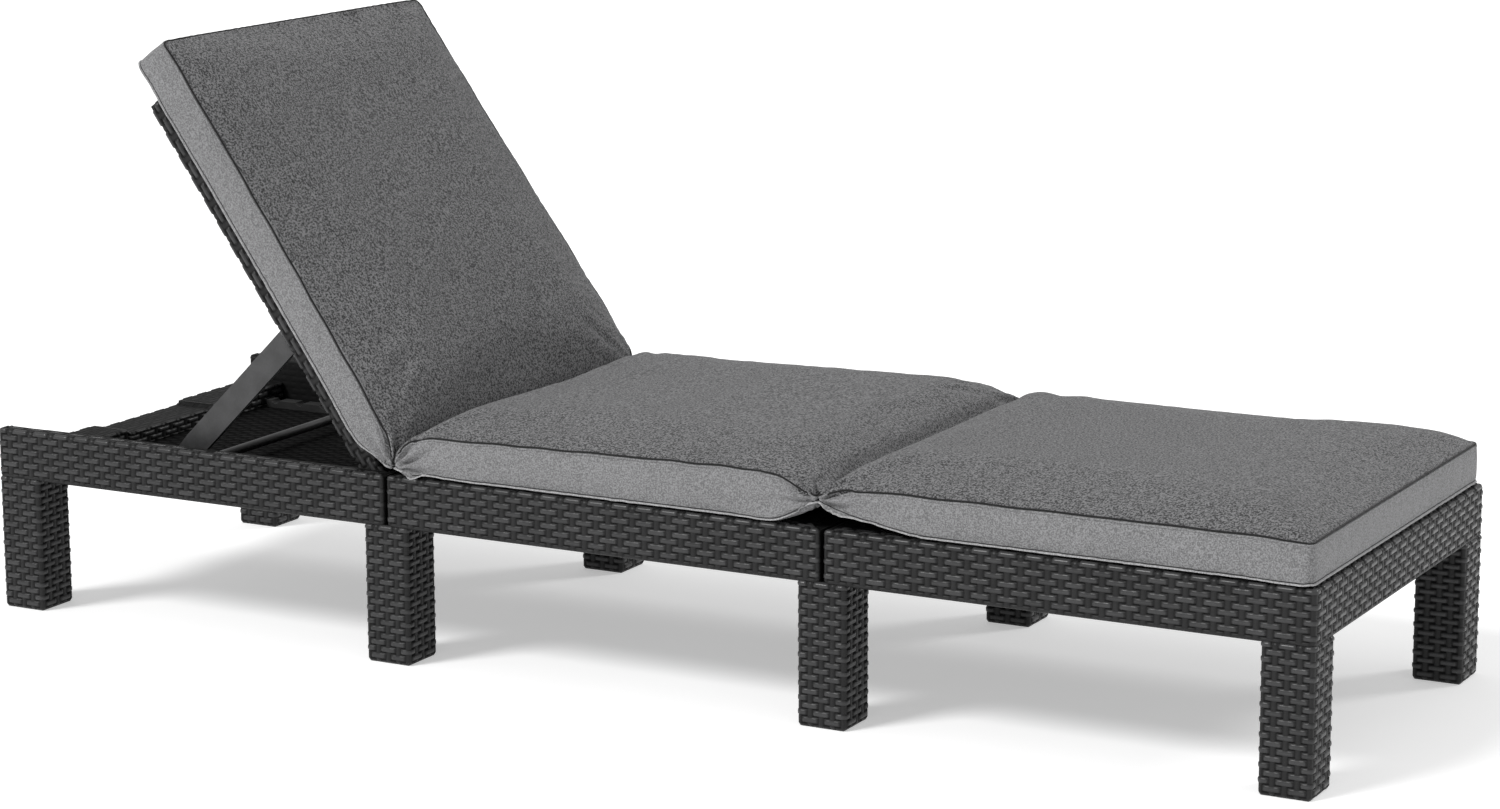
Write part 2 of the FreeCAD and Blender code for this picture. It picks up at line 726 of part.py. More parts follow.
GAP = "(arm_thick/2 + cheek_play)"
bracket_screws = []
for side_name, side in SIDES.items():
    plate = block(
        f"bracket_{side_name}_plate",
        "0 - pivot_along - bracket_length/2 + 1",
        "bracket_length/2 - pivot_along - 1",
        *span(side, f"{ARM_MID} - {GAP} - cheek_thick", f"{ARM_MID} + {GAP} + cheek_thick"),
        f"{SKIN} - bracket_base",
        SKIN,
    )
    parts = [plate]
    for inner in (f"{ARM_MID} + {GAP}", f"{ARM_MID} - {GAP} - cheek_thick"):
        y_low, y_high = span(side, inner, f"{inner} + cheek_thick")
        tag = f"bracket_{side_name}_{len(parts)}"
        web = block(
            f"{tag}_web",
            "0 - pivot_along - cheek_half",
            "cheek_half - pivot_along",
            y_low,
            y_high,
            "0 - pivot_below",
            f"{SKIN} - bracket_base",
        )
        ear = cylinder(
            f"{tag}_ear",
            "cheek_half",
            "cheek_thick",
            "0 - pivot_along",
            y_low,
            "0 - pivot_below",
            "y",
        )
        parts += [web, ear]
    y_low, y_high = span(side, f"{ARM_MID} - {GAP} - cheek_thick", f"{ARM_MID} + {GAP} + cheek_thick")
    bore = cylinder(
        f"bracket_{side_name}_bore",
        "prop_pin_radius",
        f"2*({GAP} + cheek_thick)",
        "0 - pivot_along",
        y_low,
        "0 - pivot_below",
        "y",
    )
    holes = [bore]
    for step in (-1, 1):
        along = f"{step}*bracket_screw_spread - pivot_along"
        tag = f"bracket_{side_name}_hole_{step + 1}"
        height = f"{SKIN} - bracket_base"
        holes.append(cylinder(tag, "screw_radius", "bracket_base", along, signed(side, ARM_MID), height))
    blank = fuse(f"bracket_{side_name}_blank", *parts)
    clevis = cut(f"bracket_{side_name}", blank, fuse(f"bracket_{side_name}_tools", *holes))
    on_backrest(keep(f"prop_bracket_{side_name}", clevis))
    pin = cylinder(
        f"prop_pin_{side_name}_rod",
        "prop_pin_radius",
        f"2*({GAP} + cheek_thick)",
        "0 - pivot_along",
        y_low,
        "0 - pivot_below",
        "y",
    )
    outer_face = f"{ARM_MID} + {GAP} + cheek_thick"
    button = cylinder(
        f"prop_pin_{side_name}_button",
        "prop_pin_radius + pin_button",
        "pin_button",
        "0 - pivot_along",
        span(side, outer_face, f"{outer_face} + pin_button")[0],
        "0 - pivot_below",
        "y",
    )
    on_backrest(keep(f"prop_pin_{side_name}", fuse(f"prop_pin_{side_name}_set", pin, button)))
    for step in (-1, 1):
        tag = f"{side_name}_{step + 1}"
        spot = (f"{step}*bracket_screw_spread - pivot_along", signed(side, ARM_MID))
        cap = cylinder(
            f"bracket_cap_{tag}",
            "screw_head",
            "screw_cap/2",
            *spot,
            f"{SKIN} - bracket_base - screw_cap/2",
        )
        shank = cylinder(
            f"bracket_shank_{tag}",
            "screw_radius",
            "bracket_base + panel_skin - 1",
            *spot,
            f"{SKIN} - bracket_base",
        )
        bracket_screws.append(fuse(f"bracket_screw_{tag}", cap, shank))
on_backrest(group("bracket_screws", bracket_screws))

# --- prop, drawn level about its pivot ---------------------------------------------------------

for side_name, side in SIDES.items():
    body = doc.addObject("PartDesign::Body", f"arm_{side_name}_body")
    offset = f"0 - {signed(side, ARM_MID)}"
    blade = sketch(body, f"arm_{side_name}_blade", "XZ_Plane", offset)
    outline(
        blade,
        [
            ("0", "0 - arm_half"),
            ("0", "arm_half"),
            ("foot_taper - prop_reach", "arm_half"),
            ("0 - prop_reach", "foot_half"),
            ("0 - prop_reach", "0 - foot_half"),
            ("foot_taper - prop_reach", "0 - arm_half"),
        ],
    )
    pad(body, blade, "arm_thick", midplane=True)
    for end, x, radius in (("top", "0", "arm_half"), ("foot", "0 - prop_reach", "foot_half")):
        boss = sketch(body, f"arm_{side_name}_{end}", "XZ_Plane", offset)
        circle(boss, x, "0", radius)
        pad(body, boss, "arm_thick", midplane=True)
    pivots = sketch(body, f"arm_{side_name}_holes", "XZ_Plane", offset)
    circle(pivots, "0", "0", "prop_pin_radius + running_play")
    circle(pivots, "0 - prop_reach", "0", "bar_radius")
    pocket(body, pivots, "arm_thick + 2", midplane=True)
    on_prop(keep(f"prop_arm_{side_name}", body))

bar = cylinder("cross_bar_rod", "bar_radius", "2*arm_outer", "0 - prop_reach", "0 - arm_outer", "0", "y")
on_prop(group("prop_cross_bar", [bar]))
caps = []
for side_name, side in SIDES.items():
    y_low, y_high = span(side, "arm_outer", "arm_outer + cap_thick")
    caps.append(cylinder(
        f"bar_cap_{side_name}",
        "cap_radius",
        "cap_thick",
        "0 - prop_reach",
        y_low,
        "0",
        "y",
    ))
on_prop(group("cross_bar_caps", caps))

# --- cushions ----------------------------------------------------------------------------------


def cushion(name, x_low, x_high, z_low, z_high):
    """A plain rounded block for a soft cushion."""
    body = doc.addObject("PartDesign::Body", f"{name}_body")
    plan = sketch(body, f"{name}_plan", "XY_Plane", z_low)
    rectangle(plan, x_low, x_high, "0 - cushion_half", "cushion_half")
    soften(body, pad(body, plan, f"({z_high}) - ({z_low})"), "cushion_round", upright)
    return keep(name, body)


REST = "frame_top + cushion_gap"
cushion("seat_cushion", "0 - seat_rear", "seat_front", REST, f"{REST} + seat_thick")
cushion("foot_cushion", "foot_rear", "foot_front", REST, f"{REST} + foot_thick")
on_backrest(cushion("back_cushion", "0 - back_end", "0 - back_start", "back_lift", "back_lift + back_thick"))
keep(
    "cushion_fold_front",
    block(
        "front_fold",
        "seat_front",
        "foot_rear",
        "0 - cushion_half",
        "cushion_half",
        "front_fold_height",
        "front_fold_height + fold_thick",
    ),
)
keep(
    "cushion_fold_rear",
    block(
        "rear_fold",
        "0 - seat_rear - rear_fold_reach",
        "0 - seat_rear",
        "0 - cushion_half",
        "cushion_half",
        "rear_fold_height",
        "rear_fold_height + fold_thick",
    ),
)

# --- check and write ---------------------------------------------------------------------------

doc.recompute()
failed = [item.Name for item in doc.Objects if "Invalid" in item.State or "Error" in item.State]
for name, piece in nodes.items():
    if piece.Shape.isNull() or not piece.Shape.isValid() or not piece.Shape.Solids:
        failed.append(name)
if failed:
    raise RuntimeError("failed: " + ", ".join(failed))
os.makedirs("parts", exist_ok=True)
for name, piece in nodes.items():
    piece.Shape.exportStep(f"parts/{name}.step")
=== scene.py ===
"""Looks of the reclining sun lounger: woven-look resin skins, sewn cushions, floor, light and camera.

Metres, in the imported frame: +X towards the foot end, +Y to the sitter's left, +Z up.
"""
import json
import math

import bmesh
import bpy
import numpy as np
from mathutils import Matrix, Vector
from mathutils.bvhtree import BVHTree
from mathutils.kdtree import KDTree


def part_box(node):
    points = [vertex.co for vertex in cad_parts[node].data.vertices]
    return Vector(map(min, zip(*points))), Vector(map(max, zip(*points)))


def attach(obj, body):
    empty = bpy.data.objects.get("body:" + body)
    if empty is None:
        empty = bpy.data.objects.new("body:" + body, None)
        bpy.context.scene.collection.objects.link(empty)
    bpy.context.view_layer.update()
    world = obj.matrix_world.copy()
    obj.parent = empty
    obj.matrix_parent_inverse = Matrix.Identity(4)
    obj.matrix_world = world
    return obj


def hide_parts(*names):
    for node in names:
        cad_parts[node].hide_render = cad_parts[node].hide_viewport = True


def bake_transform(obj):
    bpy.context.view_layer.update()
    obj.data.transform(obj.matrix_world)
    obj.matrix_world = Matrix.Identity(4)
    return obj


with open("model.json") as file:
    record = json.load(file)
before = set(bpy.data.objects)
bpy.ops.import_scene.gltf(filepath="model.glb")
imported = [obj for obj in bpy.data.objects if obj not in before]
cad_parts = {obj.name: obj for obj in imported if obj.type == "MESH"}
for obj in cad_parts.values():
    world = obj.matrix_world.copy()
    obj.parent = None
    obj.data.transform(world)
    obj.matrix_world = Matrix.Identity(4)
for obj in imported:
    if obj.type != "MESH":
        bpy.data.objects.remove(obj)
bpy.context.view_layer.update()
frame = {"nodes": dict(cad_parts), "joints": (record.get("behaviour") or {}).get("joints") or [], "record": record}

MM = 0.001
joints = {joint["name"]: joint for joint in frame["joints"]}
HINGE = Vector(joints["backrest_hinge"]["pos_m"])
RECLINE = math.radians(-joints["backrest_hinge"]["range_deg"][0])
BACKREST = Matrix.Translation(HINGE) @ Matrix.Rotation(RECLINE, 4, "Y")

head_low, head_high = (Vector(corner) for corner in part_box("head_section"))
seat_low, seat_high = (Vector(corner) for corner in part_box("seat_section"))
foot_low, foot_high = (Vector(corner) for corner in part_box("foot_section"))
RAIL_TOP = seat_high.z
RAIL_BOTTOM = seat_low.z

# --- mesh helpers -----------------------------------------------------------------------------


def make_object(name, vertices, faces, material, smooth=True):
    mesh = bpy.data.meshes.new(name)
    faces = faces.tolist() if isinstance(faces, np.ndarray) else faces
    mesh.from_pydata(np.asarray(vertices, float).tolist(), [], faces)
    mesh.polygons.foreach_set("use_smooth", [smooth] * len(mesh.polygons))
    shell = bmesh.new()
    shell.from_mesh(mesh)
    bmesh.ops.recalc_face_normals(shell, faces=shell.faces)
    shell.to_mesh(mesh)
    shell.free()
    made = bpy.data.objects.new(name, mesh)
    bpy.context.scene.collection.objects.link(made)
    mesh.materials.append(material)
    return made


def ring_faces(stations, around, close_stations=True):
    """Quads of a grid whose rows are closed rings; the rows join up too if close_stations."""
    last = stations if close_stations else stations - 1
    row = np.arange(last)[:, None]
    column = np.arange(around)[None, :]
    here = row * around + column
    right = row * around + (column + 1) % around
    below = ((row + 1) % stations) * around + column
    below_right = ((row + 1) % stations) * around + (column + 1) % around
    return np.stack([here, right, below_right, below], -1).reshape(-1, 4)


def capped_faces(stations, around):
    """Faces of a tube of closed rings with both its ends closed."""
    faces = ring_faces(stations, around, close_stations=False).tolist()
    faces.append(list(range(around)))
    faces.append(list(range((stations - 1) * around, stations * around))[::-1])
    return faces


def run_along(path):
    """Distance travelled at each point of a path."""
    return np.concatenate(([0], np.cumsum(np.linalg.norm(np.diff(path, axis=0), axis=1))))


def read_vectors(items, attribute):
    """One three-part attribute of every vertex or polygon, as rows."""
    flat = np.empty(3 * len(items))
    items.foreach_get(attribute, flat)
    return flat.reshape(-1, 3)


def write_points(piece, points):
    piece.data.vertices.foreach_set("co", points.ravel())
    piece.data.update()


def ripple(points, size, seed, waves=5):
    """A smooth, repeatable unevenness between about -1 and 1, with features about size across."""
    rng = np.random.default_rng(seed)
    total = np.zeros(len(points))
    for _ in range(waves):
        direction = rng.normal(size=points.shape[1])
        direction /= np.linalg.norm(direction)
        wavelength = size * rng.uniform(0.7, 1.5)
        phase = rng.uniform(0, 6.3)
        total += np.sin(points @ direction * 2 * math.pi / wavelength + phase)
    return total / math.sqrt(2 * waves)


# --- woven skins --------------------------------------------------------------------------------

STAKE_PITCH = 17.5 * MM
ROW_PITCH = 9.3 * MM
STAKE_HALF = 0.25
STRAND_HALF = 0.44
RELIEF = 2.7 * MM
UPRIGHT_HEIGHT = 0.62
SKIN_LIFT = 0.15 * MM
EDGE_SWELL = 0.45
EDGE_RUN = 1.2 * MM

# Where the skins have a line of points, within one stake's pitch and within one row's pitch.
STAKE_STOPS = (0.0, 0.16, 0.22, 0.28, 0.42, 0.58, 0.72, 0.78, 0.84)
ROW_STOPS = (0.0, 0.25, 0.39, 0.47, 0.53, 0.61, 0.75)


def ease(low, high, value):
    """A smooth step from 0 at low to 1 at high."""
    share = np.clip((value - low) / (high - low), 0, 1)
    return share * share * (3 - 2 * share)


def weave_height(stake, row):
    """Height, from 0 to about 1, of a plain weave, at places counted in stakes and rows.

    Broad strands along each row pass over and under the upright stakes.
    """
    near_stake = np.round(stake)
    near_row = np.round(row)
    along_strand = np.abs((stake - near_row + 1) % 2 - 1)
    across_strand = np.abs(row - near_row) / STRAND_HALF
    strand = (1 - ease(0.58, 0.84, along_strand)) * np.clip(1 - across_strand**4, 0, 1)
    along_stake = np.abs((row - near_stake) % 2 - 1)
    across_stake = np.abs(stake - near_stake) / STAKE_HALF
    upright = UPRIGHT_HEIGHT * (1 - ease(0.5, 0.9, along_stake)) * np.clip(1 - across_stake**4, 0, 1)
    unevenness = 1 + 0.07 * np.sin(12.99 * np.round((stake - near_row) / 2) + 78.2 * near_row)
    return np.maximum(strand * unevenness, upright)


def rounded_path(points, radius):
    """A run of straight lines with its corners rounded, as closely spaced points."""
    points = [np.array(point, float) for point in points]
    dense = [points[0]]
    for before, corner, after in zip(points, points[1:], points[2:]):
        back = (before - corner) / np.linalg.norm(before - corner)
        ahead = (after - corner) / np.linalg.norm(after - corner)
        for share in np.linspace(0, 1, 9):
            one = corner + back * radius * (1 - share)
            two = corner + ahead * radius * share
            dense.append(one * (1 - share) + two * share)
    dense.append(points[-1])
    return np.array(dense)


def path_at(path, distance):
    """Points and outward normals at distances along a path of (inset, height) points."""
    run = run_along(path)
    reach = 0.6 * MM

    def point(where):
        where = np.clip(where, 0, run[-1])
        return np.stack([np.interp(where, run, path[:, axis]) for axis in (0, 1)], 1)

    tangent = point(distance + reach) - point(distance - reach)
    tangent /= np.linalg.norm(tangent, axis=1)[:, None]
    return point(distance), np.stack([-tangent[:, 1], tangent[:, 0]], 1)


class Outline:
    """A rounded rectangle seen from above, with a whole number of stakes on each side.

    Stake 0 stands on the middle of a corner, and so does the first stake of every other side.
    """

    def __init__(self, low, high, radius):
        self.centre = (np.array(low) + np.array(high)) / 2
        self.half = (np.array(high) - np.array(low)) / 2
        self.radius = radius
        self.arc = math.pi / 2 * radius
        self.straight = [2 * (self.half[1] - radius), 2 * (self.half[0] - radius)] * 2
        self.counts = [max(1, round((length + self.arc) / STAKE_PITCH)) for length in self.straight]
        self.total = sum(self.counts)

    def at(self, stakes, inset):
        """Points and outward normals at places counted in stakes, moved inwards by inset."""
        signs = np.array([(1, -1), (1, 1), (-1, 1), (-1, -1)])
        inner = self.half - inset
        bend = min(max(self.radius - inset, 0.3 * MM), inner.min())
        points = np.zeros((len(stakes), 2))
        normals = np.zeros((len(stakes), 2))
        first_stake = 0
        for side, count in enumerate(self.counts):
            length = self.straight[side] + self.arc
            here = np.flatnonzero((stakes >= first_stake) & (stakes < first_stake + count))
            distance = (stakes[here] - first_stake) / count * length
            first_stake += count
            following = (side + 1) % 4
            leaving = distance > length - self.arc / 2
            turn = np.where(distance < self.arc / 2, distance / self.arc - 0.5, 0)
            turn = np.where(leaving, (distance - length) / self.arc + 0.5, turn)
            angle = (side + turn) * math.pi / 2
            normals[here] = np.stack([np.cos(angle), np.sin(angle)], 1)
            share = np.clip((distance - self.arc / 2) / self.straight[side], 0, 1)[:, None]
            start = signs[side] * (inner - bend)
            end = signs[following] * (inner - bend)
            points[here] = start * (1 - share) + end * share + bend * normals[here]
        return points + self.centre, normals


def plain_relief(points, _normals):
    """The weave's full relief everywhere."""
    return np.ones(len(points))


def woven_ring(name, low, high, radius, path, edge, back, material, **options):
    """A closed woven skin that runs round a rounded rectangle.

    path is the skin's outer profile and back its hidden side, as (inset, height) points.
    edge is the place on the path that the middle of a strand runs along.
    Options: depth gives each place its share of the full relief, bend is the radius of the path's
    corners, row_pitch the height of a row, calm_start where the weave begins along the path, and
    warp a last change to the points.
    """
    depth = options.get("depth", plain_relief)
    dense = rounded_path(path, options.get("bend", 3.5 * MM))
    run = run_along(dense)
    crest = run[np.argmin(np.linalg.norm(dense - np.array(edge), axis=1))]
    pitch = options.get("row_pitch", ROW_PITCH)
    rows = np.arange(math.floor(-crest / pitch) - 1, math.ceil((run[-1] - crest) / pitch) + 1)
    distance = crest + (rows[:, None] + np.array(ROW_STOPS)[None, :]).ravel() * pitch
    distance = np.unique(np.clip(distance, 0, run[-1]))
    outline = Outline(low, high, radius)
    stakes = (np.arange(outline.total)[:, None] + np.array(STAKE_STOPS)[None, :]).ravel()
    stations, tilts = path_at(dense, distance)
    from_ends = np.minimum(distance - options.get("calm_start", 0), run[-1] - distance)
    woven = np.clip(from_ends / EDGE_RUN, 0, 1)
    rings = []
    heights = []
    for (inset, height), (tilt_in, tilt_up), where, share in zip(stations, tilts, distance, woven):
        points, normals = outline.at(stakes, inset)
        swell = weave_height(stakes, np.full(len(stakes), (where - crest) / pitch))
        swell = (swell * share + EDGE_SWELL * (1 - share)) * depth(points, normals)
        lift = SKIN_LIFT + RELIEF * swell
        outer = points - normals * (tilt_in * lift)[:, None]
        rings.append(np.column_stack([outer, height + tilt_up * lift]))
        heights.append(swell)
    for inset, height in back:
        points, _ = outline.at(stakes, inset)
        rings.append(np.column_stack([points, np.full(len(points), height)]))
        heights.append(np.zeros(len(points)))
    vertices = np.concatenate(rings)
    if "warp" in options:
        vertices = options["warp"](vertices)
    made = make_object(name, vertices, ring_faces(len(rings), len(stakes)), material)
    mark_relief(made, np.concatenate(heights))
    return made


def mark_relief(piece, heights):
    """Record how far each point stands out; the resin's gloss follows it, and its colour takes painted shade in
    the hollows.
    """
    relief = piece.data.attributes.new("relief", "FLOAT", "POINT")
    relief.data.foreach_set("value", np.asarray(heights, np.float32))


def woven_sheet(name, low, high, height, material):
    """A woven panel that lies flat, closed underneath."""
    lift = 0.2 * MM
    relief = 1.5 * MM
    skirt_drop = 0.5 * MM
    stops = np.array((0.0, 0.27, 0.5, 0.73))
    counts = []
    places = []
    for axis, pitch in ((0, STAKE_PITCH), (1, ROW_PITCH)):
        count = max(2, round((high[axis] - low[axis]) / pitch))
        counts.append(count)
        places.append(np.append((np.arange(count)[:, None] + stops).ravel(), count))
    grid_x, grid_y = np.meshgrid(*places, indexing="ij")
    swell = weave_height(grid_x, grid_y)
    x = low[0] + (high[0] - low[0]) * grid_x / counts[0]
    y = low[1] + (high[1] - low[1]) * grid_y / counts[1]
    top = np.stack([x, y, height + lift + relief * swell], -1).reshape(-1, 3)
    rows, columns = grid_x.shape
    index = np.arange(rows * columns).reshape(rows, columns)
    quads = [index[:-1, :-1], index[1:, :-1], index[1:, 1:], index[:-1, 1:]]
    faces = np.stack(quads, -1).reshape(-1, 4)
    rim = np.concatenate([index[:, 0], index[-1, 1:], index[-2::-1, -1], index[0, -2:0:-1]])
    skirt = top[rim].copy()
    skirt[:, 2] = height - skirt_drop
    start = len(top)
    following = np.roll(np.arange(len(rim)), -1)
    walls = np.stack([rim, start + np.arange(len(rim)), start + following, rim[following]], -1)
    underside = list(range(start + len(rim) - 1, start - 1, -1))
    all_faces = faces.tolist() + walls.tolist() + [underside]
    made = make_object(name, np.concatenate([top, skirt]), all_faces, material)
    mark_relief(made, np.concatenate([swell.ravel(), np.zeros(len(rim))]))
    return made


# --- materials ----------------------------------------------------------------------------------


class Nodes:
    """Short calls for building a material's node tree."""

    def __init__(self, name):
        self.material = bpy.data.materials.new(name)
        self.material.use_nodes = True
        self.tree = self.material.node_tree
        self.shader = self.tree.nodes["Principled BSDF"]

    def add(self, kind, inputs=None, **settings):
        node = self.tree.nodes.new(kind)
        for key, value in settings.items():
            setattr(node, key, value)
        for key, value in (inputs or {}).items():
            if isinstance(value, bpy.types.NodeSocket):
                self.tree.links.new(value, node.inputs[key])
            else:
                node.inputs[key].default_value = value
        return node

    def place(self, scale=(1, 1, 1)):
        coordinates = self.add("ShaderNodeTexCoord").outputs["Object"]
        return self.add("ShaderNodeMapping", {"Vector": coordinates, "Scale": scale}).outputs[0]

    def noise(self, scale, detail=2.0, stretch=(1, 1, 1), roughness=0.5):
        inputs = {
            "Vector": self.place(stretch),
            "Scale": scale,
            "Detail": detail,
            "Roughness": roughness,
        }
        return self.add("ShaderNodeTexNoise", inputs).outputs["Fac"]

    def ramp(self, factor, *stops):
        """A colour ramp; a stop's colour may be one number, for a grey."""
        node = self.add("ShaderNodeValToRGB", {"Fac": factor})
        while len(node.color_ramp.elements) < len(stops):
            node.color_ramp.elements.new(0.5)
        for element, (position, colour) in zip(node.color_ramp.elements, stops):
            element.position = position
            element.color = (*(colour if isinstance(colour, tuple) else (colour,) * 3), 1)
        return node.outputs["Color"]

    def span(self, factor, low, high):
        inputs = {"Value": factor, "To Min": low, "To Max": high}
        return self.add("ShaderNodeMapRange", inputs).outputs["Result"]

    def mix(self, factor, one, two, blend="MIX"):
        node = self.add("ShaderNodeMix", data_type="RGBA", blend_type=blend)
        for key, value in ((0, factor), (6, one), (7, two)):
            if isinstance(value, bpy.types.NodeSocket):
                self.tree.links.new(value, node.inputs[key])
            else:
                node.inputs[key].default_value = (*value, 1) if isinstance(value, tuple) else value
        return node.outputs[2]

    def math(self, operation, one, two):
        node = self.add("ShaderNodeMath", operation=operation)
        for key, value in ((0, one), (1, two)):
            if isinstance(value, bpy.types.NodeSocket):
                self.tree.links.new(value, node.inputs[key])
            else:
                node.inputs[key].default_value = value
        return node.outputs[0]

    def blend(self, one, share_one, two, share_two):
        parts = [self.math("MULTIPLY", one, share_one), self.math("MULTIPLY", two, share_two)]
        return self.math("ADD", *parts)

    def bump(self, height, strength, distance):
        inputs = {"Height": height, "Strength": strength, "Distance": distance}
        self.link("Normal", self.add("ShaderNodeBump", inputs).outputs["Normal"])

    def link(self, socket, value):
        self.tree.links.new(value, self.shader.inputs[socket])

    def set(self, **values):
        for key, value in values.items():
            self.shader.inputs[key.replace("_", " ")].default_value = value
        return self


def resin_material(name, dark, light, rough=(0.20, 0.34), woven=True, shine=0.22):
    """Moulded graphite resin: fine grain and soft mottling.

    Where it is woven, painted shade darkens its hollows, and its crests are glossier.
    """
    nodes = Nodes(name)
    base = nodes.ramp(nodes.noise(22.0, 3.0), (0.3, dark), (0.7, light))
    grain = nodes.noise(700.0, 3.0, (0.35, 1, 1))
    base = nodes.mix(nodes.span(grain, 0.0, 0.3), base, tuple(1.5 * c for c in light))
    gloss = nodes.span(nodes.noise(70.0, 3.0), *rough)
    if woven:
        relief = nodes.add("ShaderNodeAttribute", attribute_name="relief").outputs["Fac"]
        # Painted shade: the relief darkens the base colour to as little as 0.04 of itself in the weave's hollows,
        # where shade falls.
        hollow_painted_shade = nodes.ramp(relief, (0.1, 0.04), (0.7, 0.40), (0.98, 1))
        base = nodes.mix(1.0, base, hollow_painted_shade, "MULTIPLY")
        gloss = nodes.math("ADD", gloss, nodes.span(relief, 0.4, 0.0))
    nodes.link("Base Color", base)
    nodes.link("Roughness", gloss)
    nodes.bump(grain, 0.3, 0.25 * MM)
    nodes.set(Specular_IOR_Level=shine)
    return nodes.material


def fabric_material(name, dark, light, thread=1.0):
    """Melange cloth: dark and light fibres mixed at random, with a fine plain weave over them."""
    nodes = Nodes(name)
    fine = 620.0 / thread
    coarse = 130 / thread
    melange = nodes.noise(400.0 / thread, 2.0, roughness=0.6)
    slub = nodes.noise(1.0, 2.0, (coarse, fine, fine), 0.6)
    cross = nodes.noise(1.0, 2.0, (fine, coarse, fine), 0.6)
    threads = nodes.blend(slub, 0.5, cross, 0.5)
    mixed = nodes.blend(melange, 0.6, threads, 0.4)
    middle = tuple((d + l) / 2 for d, l in zip(dark, light))
    shade = nodes.ramp(mixed, (0.435, dark), (0.5, middle), (0.565, light))
    broad = nodes.ramp(nodes.noise(6.0, 3.0), (0.3, 0.93), (0.7, 1))
    nodes.link("Base Color", nodes.mix(1.0, shade, broad, "MULTIPLY"))
    checks = nodes.add("ShaderNodeTexChecker", {"Vector": nodes.place(), "Scale": fine})
    weave = checks.outputs["Fac"]
    nodes.bump(nodes.math("ADD", nodes.math("MULTIPLY", weave, 0.3), mixed), 0.6, 0.5 * MM)
    nodes.link("Roughness", nodes.span(mixed, 0.8, 0.96))
    nodes.set(Sheen_Weight=0.12, Sheen_Roughness=0.5, Specular_IOR_Level=0.2)
    return nodes.material


def metal_material(name, colour, rough, metallic, grain=(1, 1, 1)):
    """Painted or bare metal, rubber and nylon: a fine or brushed grain with cloudy, uneven gloss."""
    nodes = Nodes(name)
    brushed = nodes.noise(1.0, 3.0, tuple(400 * value for value in grain))
    darker = tuple(0.78 * value for value in colour)
    cloudy = nodes.ramp(nodes.noise(45.0, 4.0), (0.35, 0.78), (0.65, 1.2))
    streaks = nodes.ramp(brushed, (0.25, darker), (0.75, colour))
    nodes.link("Base Color", nodes.mix(1.0, streaks, cloudy, "MULTIPLY"))
    nodes.link("Roughness", nodes.span(brushed, rough - 0.06, rough + 0.08))
    nodes.bump(brushed, 0.08, 0.2 * MM)
    nodes.set(Metallic=metallic)
    return nodes.material


RESIN = resin_material("resin_graphite", (0.030, 0.030, 0.0305), (0.052, 0.052, 0.053))
# Painted shade: a much darker copy of the graphite resin for the inner and under faces, which lie in shade.
RESIN_INSIDE_PAINTED_SHADE = resin_material("resin_inside_painted_shade", (0.010,) * 3, (0.016,) * 3, (0.4, 0.55), False)
# Painted shade: a near-black, less shiny copy of the graphite resin for the tray in the well under the backrest,
# which lies in shade.
RESIN_TRAY_PAINTED_SHADE = resin_material("resin_tray_painted_shade", (0.004,) * 3, (0.008,) * 3, (0.6, 0.75), shine=0.06)
FABRIC = fabric_material("cushion_cloth", (0.032, 0.032, 0.033), (0.210, 0.210, 0.214), 1.0)
BORDER = fabric_material("border_cloth", (0.140, 0.140, 0.142), (0.275, 0.275, 0.28), 0.8)
WELT = fabric_material("welt_cloth", (0.27, 0.27, 0.275), (0.46, 0.46, 0.465), 0.7)
# Painted shadow: near-black cloth for the strips laid in the crease inside each top seam and above each hem lip,
# where shade falls.
PAINTED_CREASE_SHADOW = fabric_material("painted_crease_shadow_cloth", (0.008, 0.008, 0.008), (0.02, 0.02, 0.02), 0.5)
PROP_GREY = metal_material("prop_powder_coat", (0.045, 0.045, 0.046), 0.42, 0.0)
STEEL = metal_material("zinc_steel", (0.56, 0.56, 0.55), 0.32, 1.0, (0.2, 1, 1))
NYLON = metal_material("black_nylon", (0.02, 0.02, 0.02), 0.5, 0.0)
RUBBER = metal_material("glide_rubber", (0.018, 0.018, 0.018), 0.75, 0.0)

SLOT_MATERIALS = {
    "resin": RESIN_INSIDE_PAINTED_SHADE,
    "prop_grey": PROP_GREY,
    "steel": STEEL,
    "nylon": NYLON,
    "glide_rubber": RUBBER,
    "cushion_fabric": FABRIC,
}
for entry in frame["record"]["subparts"]:
    node = frame["nodes"][entry["node"]]
    node.data.materials.clear()
    node.data.materials.append(SLOT_MATERIALS[entry["material_slot"]])


def finish_piece(piece, body, slot, *stands_for):
    """Hide the CAD nodes that a piece stands for and attach it to the body it moves with. The slot, what the piece
    is made of, is not used.
    """
    if stands_for:
        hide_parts(*stands_for)
    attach(piece, body)


# --- woven frame ----------------------------------------------------------------------------------

SKIN = 1.5 * MM
RAIL = 28 * MM
RAIL_CORNER = 5 * MM
SMOOTH = 0.12
TOP_REACH = 26 * MM
TRAY_GAP = 3 * MM
TRAY_LIFT = 4 * MM


def frame_skin(name, low, high, reach, depth, **options):
    """The woven skin of one rail or section: under its lower edge, up its side and in over its top."""
    lip = 5 * MM
    path = [(lip, low[2]), (0, low[2]), (0, high[2]), (reach, high[2])]
    upper = high[2] - SKIN
    lower = low[2] + SKIN
    back = [(reach, upper), (SKIN, upper), (SKIN, lower), (lip, lower)]
    options["depth"] = depth
    options["calm_start"] = lip + 1 * MM
    skin = woven_ring(name, low[:2], high[:2], RAIL_CORNER, path, path[2], back, RESIN, **options)
    finish_piece(skin, "frame", "resin")


def calm_towards(*ways):
    """Less relief on the faces that look along any of these directions, where something fits close."""

    def depth(points, normals):
        facing = np.max([normals @ np.array(way, float) for way in ways], axis=0)
        return 1 - (1 - SMOOTH) * ease(0.6, 0.9, facing)

    return depth


